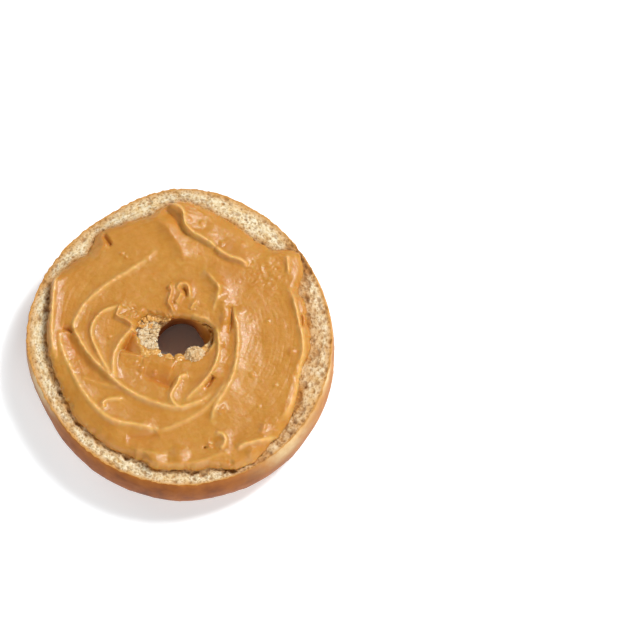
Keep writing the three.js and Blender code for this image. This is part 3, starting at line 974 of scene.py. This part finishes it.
# %% Make the spread
SPREAD_STEPS = 820
TOP_ROWS = 116
TOP_CROWDING = 0.35
UNDERCUT = 0.5
SINK = 0.4
INNER_LIFT = 0.7
INNER_RUN = 2.6
BLUNTNESS = 1.25
FINE_TEAR = {"depth": 0.35, "size": 1.4, "rows": (1.94, 2)}
OUTER_HALF = (1.3, 1.7)

edge_lift = round_the_ring([
    0.5, 0.5, 0.2, 0.15, 0.15, 0.15, 0.6, 0.3, 0.3, 0.15, 0.25, 1, 1.1, 1.1, 0.7, 0.5, 0.4, 0.4,
    0.5, 0.5, 0.3, 0.25, 0.25, 0.4,
])
edge_run = round_the_ring([
    2, 2, 5, 6, 6, 5, 2, 4, 3, 6, 4.5, 1.7, 1.6, 2.4, 5, 5.4, 4.6, 3, 2.4, 2.4, 3.2, 3.4, 3.4, 2.4,
])


def spread_section():
    """The even section: 1 to 2 from hole to rim, at height 1 on top and 0 underneath."""
    t = np.linspace(0, 1, TOP_ROWS + 1)
    across = 1 + t - TOP_CROWDING * np.sin(TURN * t) / TURN
    top = np.column_stack([across, np.ones(len(t))])
    return np.vstack([top, [(2, 0), (1.5, 0), (1, 0)]])


def rounded(distance, run, lift):
    """Rises from 0 at the edge to 1 after the run; a blunt edge rises sooner than a thin one."""
    short = 1 - np.clip(distance / run, 0, 1)
    bulge = BLUNTNESS + lift
    return (1 - short**bulge) ** (1 / bulge)


def spread_points(rest):
    """The spread's vertices in millimetres, and the guides for its colours."""
    across, angle = as_polar(rest)
    top = rest[:, 2] > 0.5
    hole, rim = inner_edge(angle), outer_edge(angle)
    inset = np.where(top, 0, UNDERCUT)
    tear = FINE_TEAR["depth"] * lumps(on_circle(angle, RIM_RADIUS) + 60, FINE_TEAR["size"])
    ragged = tear * smooth(across, *FINE_TEAR["rows"])
    radius = hole + inset + (rim - hole - 2 * inset) * (across - 1)
    spots = np.column_stack([radius * np.cos(angle), radius * np.sin(angle)])
    lift, run = edge_lift(angle), edge_run(angle)
    outward = smooth(across, *OUTER_HALF)
    start = INNER_LIFT + (lift - INNER_LIFT) * outward
    rounding = rounded(radius - hole, INNER_RUN, INNER_LIFT) * rounded(rim - radius, run, lift)
    thickness, crest, hollow_and_shade = spread_relief(spots)
    rise = (thickness - start) * rounding
    height = np.where(top, CUT_HEIGHT + start + rise, CUT_HEIGHT - SINK)
    outline = 1 + ragged / radius
    return np.column_stack([spots * outline[:, None], height]), {"crest": crest, "hollow_and_shade": hollow_and_shade}


spread_bm = turned_ring(spread_section(), SPREAD_STEPS)
spread_placed, spread_guides = spread_points(np.array([v.co for v in spread_bm.verts]))
spread = mesh_piece("peanut_butter_spread", spread_bm, spread_placed, spread_guides)
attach(spread, "root")
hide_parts("peanut_butter")
print("spread top, mm:", spread_placed[:, 2].max().round(2))

# %% [markdown]
# ## Node helper
# Shader nodes are made by one function: it adds a node, sets what it is told, and fills each input
# with a value or with a link from another node. Colours are written as the sRGB hex values that a
# colour picker shows and turned to the linear values that the renderer works in. A Mix node has
# sockets for numbers, vectors and colours, so the places of its colour sockets get names.

# %% Colours and nodes
SHARE, UNDER, OVER, MIXED = 0, 6, 7, 2


def linear(hex_colour):
    """The linear RGBA of an sRGB hex colour."""
    parts = [int(hex_colour[i : i + 2], 16) / 255 for i in (1, 3, 5)]
    return (*(p / 12.92 if p <= 0.04045 else ((p + 0.055) / 1.055) ** 2.4 for p in parts), 1)


def add(tree, kind, inputs=None, stops=None, **settings):
    """Adds a shader node with its settings, inputs and ramp stops.

    An input is a value, a socket, or a node whose main output is linked.
    """
    node = tree.nodes.new("ShaderNode" + kind)
    for name, value in settings.items():
        setattr(node, name, value)
    for key, value in (inputs or {}).items():
        if isinstance(value, bpy.types.Node):
            value = value.outputs[MIXED if value.bl_idname == "ShaderNodeMix" else 0]
        if isinstance(value, bpy.types.NodeSocket):
            tree.links.new(value, node.inputs[key])
        else:
            node.inputs[key].default_value = value
    for i, (position, colour) in enumerate(stops or []):
        ramp = node.color_ramp.elements
        stop = ramp[i] if i < 2 else ramp.new(position)
        stop.position = position
        stop.color = linear(colour)
    return node


def new_material(name):
    """An empty material and its node tree."""
    material = bpy.data.materials.new(name)
    material.use_nodes = True
    material.node_tree.nodes.clear()
    return material, material.node_tree


print("mid grey #808080 is, linear:", round(linear("#808080")[0], 3))

# %% [markdown]
# ## Peanut butter
# Ground roasted peanuts in their own oil: opaque tan, a little light passing into it, and an oily
# surface that gives soft pinkish highlights on the slopes that face the light. Its colour drifts
# slowly, and a fine grain of ground nut breaks up the gloss. The thin crests are painted paler, a
# painted glow for the light that shines through them, and the feet of steep walls are painted a
# redder tan, painted shade for the light that scatters into them.

# %% The peanut butter's material
GRIND = 0.45 * MM
GRAIN = 1.1 * MM
DRIFT = 14 * MM
MOTTLE = 2.2 * MM

spread_material, tree = new_material("ground_peanut_butter")
place = add(tree, "TexCoord").outputs["Object"]
drift = add(tree, "TexNoise", {"Vector": place, "Scale": 1 / DRIFT, "Detail": 3})
mottle = add(tree, "TexNoise", {"Vector": place, "Scale": 1 / MOTTLE, "Detail": 4})
nuts = add(tree, "TexNoise", {"Vector": place, "Scale": 1 / GRAIN, "Detail": 3})
grind = add(tree, "TexNoise", {"Vector": place, "Scale": 1 / GRIND, "Detail": 2})
tan = add(tree, "ValToRGB", {"Fac": drift}, [(0.3, "#ba7a26"), (0.7, "#c38733")])
flecks = add(tree, "ValToRGB", {"Fac": mottle}, [(0.3, "#b07022"), (0.7, "#d29c50")])
speckled = add(tree, "Mix", {SHARE: 0.25, UNDER: tan, OVER: flecks}, data_type="RGBA")
# Painted glow: along the crests the colour is mixed toward a pale yellow, in place of light shining
# through them.
crest = add(tree, "Attribute", attribute_name="crest").outputs["Fac"]
painted_glow = add(tree, "Math", {0: crest, 1: 0.75}, operation="MULTIPLY")
painted_glow_colour = add(tree, "Mix", {SHARE: painted_glow, UNDER: speckled, OVER: linear("#e4b469")}, data_type="RGBA")
# Painted shade: beside steep walls and in grooves the colour is mixed toward a redder, darker tan.
hollow_and_shade = add(tree, "Attribute", attribute_name="hollow_and_shade").outputs["Fac"]
depth = add(tree, "Math", {0: hollow_and_shade, 1: 0.7}, operation="MULTIPLY")
painted_shade_colour = add(tree, "Mix", {SHARE: depth, UNDER: painted_glow_colour, OVER: linear("#b8691c")}, data_type="RGBA")
gloss = add(tree, "MapRange", {
    "Value": nuts, "From Min": 0.3, "From Max": 0.7, "To Min": 0.3, "To Max": 0.46,
})
rough = add(tree, "Math", {0: nuts, 1: 1.6, 2: grind}, operation="MULTIPLY_ADD")
bumps = add(tree, "Bump", {"Height": rough, "Strength": 0.4, "Distance": 0.14 * MM})
surface = add(tree, "BsdfPrincipled", {
    "Base Color": painted_shade_colour,
    "Roughness": gloss,
    "IOR": 1.47,
    "Subsurface Weight": 0.5,
    "Subsurface Radius": (1.0, 0.32, 0.1),
    "Subsurface Scale": 1.6 * MM,
    "Normal": bumps,
})
add(tree, "OutputMaterial", {"Surface": surface})
spread.data.materials.append(spread_material)
print(spread_material.name, "nodes:", len(tree.nodes))

# %% [markdown]
# ## Crumb
# The cut crumb is cream, toasted to gold along its very edge and stained by oil beside the spread.
# Its walls catch the light and the hollows between them don't, so it looks spongy. The large pores
# are in the mesh, and two noises drawn out along the ring add the fibres and specks between them.
# The pores, the specks and the torn gaps are also painted darker in colour, as painted shade.

# %% The crumb's material
FIBRE = 1.0
SPECK = 0.5
PATCH = 3.5
TOAST_REACH = 6

crumb_material, tree = new_material("cut_bagel_crumb")
place = add(tree, "Attribute", attribute_name="crumb_place").outputs["Vector"]
patches = add(tree, "TexNoise", {"Vector": place, "Scale": 1 / PATCH, "Detail": 4})
fibres = add(tree, "TexNoise", {"Vector": place, "Scale": 1 / FIBRE, "Detail": 4, "Roughness": 0.6})
specks = add(tree, "TexNoise", {"Vector": place, "Scale": 1 / SPECK, "Detail": 1})
cream = add(tree, "ValToRGB", {"Fac": fibres}, [
    (0.3, "#c8a06a"), (0.68, "#efe0c2"), (0.46, "#e0c79c"),
])
golden = add(tree, "MapRange", {
    "Value": patches, "From Min": 0.5, "From Max": 0.64, "To Min": 0, "To Max": 0.45,
})
blotched = add(tree, "Mix", {
    SHARE: golden, UNDER: cream, OVER: linear("#d2a45c"),
}, data_type="RGBA")
from_rim = add(tree, "Attribute", attribute_name="from_rim").outputs["Fac"]
rim_edge = add(tree, "Math", {0: patches, 1: TOAST_REACH}, operation="MULTIPLY")
toasting = add(tree, "MapRange", {
    "Value": from_rim, "From Min": 0.3, "From Max": rim_edge, "To Min": 0.95, "To Max": 0,
})
toasted = add(tree, "Mix", {
    SHARE: toasting, UNDER: blotched, OVER: linear("#c4883c"),
}, data_type="RGBA")
smear = add(tree, "Attribute", attribute_name="smear").outputs["Fac"]
patchy = add(tree, "MapRange", {
    "Value": patches, "From Min": 0.32, "From Max": 0.62, "To Min": 0.5, "To Max": 1.0,
})
untoasted = add(tree, "MapRange", {"Value": toasting, "To Min": 1, "To Max": 0.3})
oily = add(tree, "Math", {0: smear, 1: untoasted}, operation="MULTIPLY")
staining = add(tree, "Math", {0: oily, 1: patchy}, operation="MULTIPLY")
stained = add(tree, "Mix", {
    SHARE: staining, UNDER: toasted, OVER: linear("#d2a056"),
}, data_type="RGBA", blend_type="MULTIPLY")
# Painted shade: the specks and the pore attribute mix the crumb toward brown, in place of shade
# inside its pores.
pits = add(tree, "MapRange", {
    "Value": specks, "From Min": 0.3, "From Max": 0.42, "To Min": 0.6, "To Max": 0,
})
pore = add(tree, "Attribute", attribute_name="pore").outputs["Fac"]
pore_shade_mask = add(tree, "Math", {0: pore, 1: pits}, operation="MAXIMUM")
shade = add(tree, "Math", {0: pore_shade_mask, 1: 0.78}, operation="MULTIPLY")
painted_pore_shade_colour = add(tree, "Mix", {SHARE: shade, UNDER: stained, OVER: linear("#96622a")}, data_type="RGBA")
rough = add(tree, "Math", {0: fibres, 1: pits}, operation="SUBTRACT")
bumps = add(tree, "Bump", {"Height": rough, "Strength": 0.6, "Distance": 0.2 * MM})
surface = add(tree, "BsdfPrincipled", {
    "Base Color": painted_pore_shade_colour,
    "Roughness": 0.8,
    "IOR": 1.4,
    "Normal": bumps,
})
add(tree, "OutputMaterial", {"Surface": surface})
print(crumb_material.name, "nodes:", len(tree.nodes))

# %% [markdown]
# ## Crust
# Boiling sets a thin starchy skin that bakes to a satin golden brown. It is darkest on the front
# shoulder, gold toward the right and mottled all over, with pale patches close below the cut.
# Inside the hole the wall is darker toward the back, partly as painted shade.

# %% The crust's material
CRUST_MOTTLE = 7 * MM
CRUST_STREAK = 2.5 * MM
STREAK_SHAPE = (0.4, 0.4, 1.2)
CRUST_GRAIN = 1.2 * MM

crust_material, tree = new_material("baked_bagel_crust")
place = add(tree, "TexCoord").outputs["Object"]
mottle = add(tree, "TexNoise", {
    "Vector": place, "Scale": 1 / CRUST_MOTTLE, "Detail": 6, "Roughness": 0.62,
})
layered = add(tree, "Mapping", {"Vector": place, "Scale": STREAK_SHAPE})
streaks = add(tree, "TexNoise", {"Vector": layered, "Scale": 1 / CRUST_STREAK, "Detail": 4})
fine = add(tree, "TexNoise", {"Vector": place, "Scale": 1 / CRUST_GRAIN, "Detail": 3})
below = add(tree, "Attribute", attribute_name="below_rim").outputs["Fac"]
shoulder = add(tree, "MapRange", {
    "Value": below, "From Min": 0, "From Max": 2.5, "To Min": -0.24, "To Max": 0,
})
browning_and_wall_shade = add(tree, "Attribute", attribute_name="baked").outputs["Fac"]
uneven = add(tree, "MapRange", {
    "Value": mottle, "From Min": 0.25, "From Max": 0.75, "To Min": -0.18, "To Max": 0.18,
})
streaky = add(tree, "MapRange", {
    "Value": streaks, "From Min": 0.3, "From Max": 0.7, "To Min": -0.08, "To Max": 0.08,
})
patches = add(tree, "Math", {0: uneven, 1: streaky}, operation="ADD")
heat = add(tree, "Math", {0: browning_and_wall_shade, 1: patches}, operation="ADD")
browning = add(tree, "Math", {0: heat, 1: shoulder}, operation="ADD")
# The ramp's dark end is reached on the hole's back wall, where it is partly painted shade.
brown = add(tree, "ValToRGB", {"Fac": browning}, [
    (0.0, "#dca85c"), (1.0, "#70390e"), (0.28, "#c27f2e"), (0.55, "#a65e17"), (0.85, "#86460f"),
])
pale = add(tree, "Attribute", attribute_name="pale").outputs["Fac"]
paling = add(tree, "MapRange", {
    "Value": mottle, "From Min": 0.35, "From Max": 0.6, "To Min": 0.35, "To Max": 0.9,
})
paleness = add(tree, "Math", {0: pale, 1: paling}, operation="MULTIPLY")
paled = add(tree, "Mix", {SHARE: paleness, UNDER: brown, OVER: linear("#e6cb98")}, data_type="RGBA")
gloss = add(tree, "MapRange", {"Value": fine, "To Min": 0.42, "To Max": 0.6})
bumps = add(tree, "Bump", {"Height": fine, "Strength": 0.2, "Distance": 0.2 * MM})
surface = add(tree, "BsdfPrincipled", {
    "Base Color": paled,
    "Roughness": gloss,
    "Specular IOR Level": 0.25,
    "Normal": bumps,
})
add(tree, "OutputMaterial", {"Surface": surface})
print(crust_material.name, "nodes:", len(tree.nodes))

# %% [markdown]
# The bread is one mesh with two materials. A face is crumb where all of its corners lie on the cut,
# and crust elsewhere. On the left of the hole the torn crumb also runs down over the lip, and on
# its right the brown wall comes up to the spread.

# %% Give the bread its two materials
BROWN_WALL = {"angle": -12, "spread": 64}
TORN_WALL = {"angle": 180, "spread": 60, "height": 4}

bread.data.materials.append(crust_material)
bread.data.materials.append(crumb_material)
on_right = np.abs(apart(bread_angle, BROWN_WALL["angle"])) < BROWN_WALL["spread"]
brown_wall = (bread_radius < inner_edge(bread_angle)) & on_right
on_left = np.abs(apart(bread_angle, TORN_WALL["angle"])) < TORN_WALL["spread"]
near_lip = bread_rest[:, 2] > THROAT_HEIGHT + TORN_WALL["height"]
torn_wall = near_lip & (bread_radius < FOOT_INNER) & on_left
corner_is_crumb = (on_cut & ~brown_wall) | torn_wall
for face in bread.data.polygons:
    face.material_index = int(all(corner_is_crumb[i] for i in face.vertices))
print("crumb faces:", sum(face.material_index for face in bread.data.polygons))

# %% [markdown]
# ## Coated crumbs
# Crumb that the knife wiped with spread takes its colour, but paler, and a thin wet gloss.

# %% The coated crumb's material
COAT_MOTTLE = 1.4 * MM

coated_material, tree = new_material("spread_coated_crumb")
place = add(tree, "TexCoord").outputs["Object"]
mottle = add(tree, "TexNoise", {"Vector": place, "Scale": 1 / COAT_MOTTLE, "Detail": 3})
tan = add(tree, "ValToRGB", {"Fac": mottle}, [(0.35, "#c48636"), (0.65, "#dcaa62")])
bumps = add(tree, "Bump", {"Height": mottle, "Strength": 0.4, "Distance": 0.3 * MM})
surface = add(tree, "BsdfPrincipled", {
    "Base Color": tan,
    "Roughness": 0.3,
    "IOR": 1.47,
    "Normal": bumps,
})
add(tree, "OutputMaterial", {"Surface": surface})
print(coated_material.name, "nodes:", len(tree.nodes))

# %% [markdown]
# ## Torn crumbs round the hole
# Pulling the bagel apart left loose crumbs on the hole's lip, most of them coated with spread. Each
# one is a small ball of faces, squeezed and roughened by noise, and they are joined into one piece.
# The chunk that stands on the lip is the same thing, larger and with more faces.

# %% Draw the crumbs
CRUMBS = [
    # The middle and how far the crumbs lie from it in X and Y, their lift above the torn crumb and
    # how many there are. Then their radii, the squeeze, the ball's subdivisions and the slot.
    {
        "middle": (6.2, -8), "reach": (0, 0), "lift": -2, "count": 1,
        "sizes": (4, 4), "squeeze": (1, 0.9, 0.8), "finer": 6, "coat": 0,
    },
    {
        "middle": (-7.6, 8.4), "reach": (4, 2), "lift": 0.8, "count": 80,
        "sizes": (0.4, 0.9), "squeeze": (1, 1, 0.8), "finer": 2, "coat": 1,
    },
    {
        "middle": (-1.6, -10.2), "reach": (2.6, 1.3), "lift": 1.8, "count": 9,
        "sizes": (1.4, 2.4), "squeeze": (1, 0.9, 0.7), "finer": 4, "coat": 1,
    },
    {
        "middle": (-10.4, -7.4), "reach": (2.6, 1.1), "lift": 3.2, "count": 9,
        "sizes": (1.1, 1.9), "squeeze": (1, 0.9, 0.7), "finer": 4, "coat": 1,
    },
    {
        "middle": (-6.2, -8.8), "reach": (0.8, 0.5), "lift": 2.4, "count": 3,
        "sizes": (1.2, 1.7), "squeeze": (1, 0.9, 0.7), "finer": 4, "coat": 0,
    },
    {
        "middle": (-11.4, 0.2), "reach": (3.2, 4.4), "lift": 0.05, "count": 110,
        "sizes": (0.5, 1.1), "squeeze": (1, 1, 0.45), "finer": 2, "coat": 0,
    },
    {
        "middle": (-9.2, 5.6), "reach": (1.7, 1.4), "lift": 0.1, "count": 24,
        "sizes": (0.5, 1), "squeeze": (1, 1, 0.5), "finer": 2, "coat": 0,
    },
    {
        "middle": (-12.8, 5.6), "reach": (2.4, 1.9), "lift": 0.5, "count": 30,
        "sizes": (0.35, 0.8), "squeeze": (1, 1, 0.7), "finer": 2, "coat": 1,
    },
]
BALL_UNEVEN = {"depth": 0.3, "waves": 1.3, "even_above": 1.6}
BALL_BUMPS = [(0.6, 0.9), (0.35, 1.8)]
COAT_SMOOTHS = 0.5


def crumb_ball(bm, middle, radius, squeeze, finer, coat):
    """Adds one roughened crumb and gives its faces their material slot."""
    made = bmesh.ops.create_icosphere(bm, subdivisions=finer, radius=1)
    shift = Vector(rng.uniform(-40, 40, 3))
    evened = min(1, BALL_UNEVEN["even_above"] / radius)
    for v in made["verts"]:
        way = v.co.normalized()
        rough = BALL_UNEVEN["depth"] * noise.noise(way * BALL_UNEVEN["waves"] + shift) * evened
        bumps = sum(deep * noise.noise(way * radius * waves + shift) for deep, waves in BALL_BUMPS)
        rough += bumps * (1 - COAT_SMOOTHS * coat) / max(1, radius)
        v.co = Vector(middle) + way * Vector(squeeze) * radius * (1 + rough)
    for face in {face for v in made["verts"] for face in v.link_faces}:
        face.material_index = coat


crumbs_bm = bmesh.new()
for group in CRUMBS:
    form = {key: group[key] for key in ("squeeze", "finer", "coat")}
    for _ in range(group["count"]):
        x, y = np.array(group["middle"]) + np.array(group["reach"]) * rng.uniform(-1, 1, 2)
        middle = (x, y, CUT_HEIGHT - crumb_drop(x, y) + group["lift"])
        crumb_ball(crumbs_bm, middle, rng.uniform(*group["sizes"]), **form)
bmesh.ops.recalc_face_normals(crumbs_bm, faces=crumbs_bm.faces)
print("crumbs:", sum(group["count"] for group in CRUMBS))

# %% [markdown]
# The crumbs wear the crumb's material too, so they carry the attributes that it reads. The ones on
# the right of the hole are paler and more golden than those on its left, which get more painted pit
# shade.

# %% Make the torn crumbs
RIGHT_OF = -4
FAR_FROM_RIM = 30.0
GRAIN_SIZE = 1
GRAIN_RANGE = (0.15, 0.5)
# How much painted shade darkens the crumbs' small pits, on the right of the hole and on its left.
PIT_SHADE_RIGHT, PIT_SHADE_LEFT = 0.1, 0.7
OIL_RIGHT, OIL_LEFT = 0.42, 0.1

crumb_points = np.array([v.co for v in crumbs_bm.verts])
grains = lumps(crumb_points + 10, GRAIN_SIZE)
golden_side = crumb_points[:, 0] > RIGHT_OF
crumb_guides = {
    "pore": np.where(golden_side, PIT_SHADE_RIGHT, PIT_SHADE_LEFT) * smooth(grains, *GRAIN_RANGE),
    "from_rim": np.full(len(grains), FAR_FROM_RIM),
    "crumb_place": crumb_points,
    "smear": np.where(golden_side, OIL_RIGHT, OIL_LEFT),
}
torn_crumbs = mesh_piece("torn_crumbs", crumbs_bm, crumb_points, crumb_guides)
torn_crumbs.data.materials.append(crumb_material)
torn_crumbs.data.materials.append(coated_material)
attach(torn_crumbs, "root")

# %% [markdown]
# ## Floor
# A plain pale floor, large enough to fill the picture. Within 3 cm of the middle, under the hole,
# it has a faint painted glow that lightens the floor seen through the hole; from 3 to 5.5 cm the
# painted glow rises to a stronger one that brightens the floor to white and lightens the shadow. It
# is part of the stage and not of the piece.

# %% Floor
FLOOR_HALF = 3
PAINTED_GLOW_STARTS, PAINTED_GLOW_FULL = 0.03, 0.055
PAINTED_GLOW_IN_HOLE, PAINTED_GLOW_AWAY = 0.016, 0.3

floor_bm = bmesh.new()
bmesh.ops.create_grid(floor_bm, x_segments=1, y_segments=1, size=FLOOR_HALF)
floor_mesh = bpy.data.meshes.new("floor")
floor_bm.to_mesh(floor_mesh)
floor_bm.free()
floor = bpy.data.objects.new("floor", floor_mesh)
bpy.context.collection.objects.link(floor)
floor_material, tree = new_material("white_board_with_painted_glow")
place = add(tree, "TexCoord").outputs["Object"]
away = add(tree, "VectorMath", {0: place}, operation="LENGTH").outputs["Value"]
# Painted glow: the floor's emission, faint under the hole and strong away from the bagel.
painted_glow = add(tree, "MapRange", {
    "Value": away, "From Min": PAINTED_GLOW_STARTS, "From Max": PAINTED_GLOW_FULL,
    "To Min": PAINTED_GLOW_IN_HOLE, "To Max": PAINTED_GLOW_AWAY,
})
surface = add(tree, "BsdfPrincipled", {
    "Base Color": linear("#f4f3f2"),
    "Roughness": 0.9,
    "Emission Color": (1, 1, 1, 1),
    "Emission Strength": painted_glow,
})
add(tree, "OutputMaterial", {"Surface": surface})
floor.data.materials.append(floor_material)
print("floor, m across:", 2 * FLOOR_HALF)

# %% [markdown]
# ## Light
# Two lamps stand together at the back right: a large softbox, and a smaller key light that gives
# the oily spread its highlights and throws the shadow to the front left. Three weak fills and a
# little light from all round keep the other sides open.

# %% Light
LIGHTS = [
    {"name": "softbox", "azimuth": 38, "elevation": 50, "width": 0.6, "power": 9.6},
    {"name": "key", "azimuth": 32, "elevation": 52, "width": 0.26, "power": 8.6},
    {"name": "fill_back_left", "azimuth": 140, "elevation": 32, "width": 0.9, "power": 3},
    {"name": "fill_front_left", "azimuth": 230, "elevation": 28, "width": 0.9, "power": 4},
    {"name": "fill_front_right", "azimuth": 290, "elevation": 28, "width": 0.9, "power": 8.5},
]
LIGHT_DISTANCE = 1.3
LAMP_TINT = (0.95, 1, 1.03)
AMBIENT = 0.1


def direction(azimuth, elevation):
    """The unit vector toward a place on the sky."""
    azimuth, elevation = math.radians(azimuth), math.radians(elevation)
    flat = math.cos(elevation)
    return Vector((flat * math.cos(azimuth), flat * math.sin(azimuth), math.sin(elevation)))


world = bpy.data.worlds.new("studio")
bpy.context.scene.world = world
world.use_nodes = True
world.node_tree.nodes["Background"].inputs["Color"].default_value = (1, 1, 1, 1)
world.node_tree.nodes["Background"].inputs["Strength"].default_value = AMBIENT
for light in LIGHTS:
    lamp = bpy.data.lights.new(light["name"], "AREA")
    lamp.shape = "DISK"
    lamp.size = light["width"]
    lamp.energy = light["power"]
    lamp.color = LAMP_TINT
    stand = bpy.data.objects.new(light["name"], lamp)
    toward = direction(light["azimuth"], light["elevation"])
    stand.location = toward * LIGHT_DISTANCE
    stand.rotation_euler = toward.to_track_quat("Z", "Y").to_euler()
    bpy.context.collection.objects.link(stand)
bpy.context.scene.view_settings.view_transform = "Standard"
print("lamps:", [light["name"] for light in LIGHTS])

# %% [markdown]
# ## Camera
# It looks down steeply from the front, as from standing height over a table. A long lens from
# 0.8 m keeps the ring's shape true. It aims to the right of the ring, so the half lies at the left.

# %% Camera
CAMERA_ELEVATION = 70
CAMERA_DISTANCE = 0.8
LENS = 120.8
SENSOR = 36
AIM_RIGHT, AIM_BACK = 0.0524, 0.00654
AIM = Vector((AIM_RIGHT + RING_MIDDLE[0] * MM, AIM_BACK + RING_MIDDLE[1] * MM, CUT_HEIGHT * MM))

camera_data = bpy.data.cameras.new("camera")
camera_data.lens = LENS
camera_data.sensor_width = SENSOR
camera = bpy.data.objects.new("camera", camera_data)
back = direction(-90, CAMERA_ELEVATION)
camera.location = AIM + back * CAMERA_DISTANCE
camera.rotation_euler = back.to_track_quat("Z", "Y").to_euler()
bpy.context.collection.objects.link(camera)
bpy.context.scene.camera = camera
print("camera at, m:", [round(value, 3) for value in camera.location])
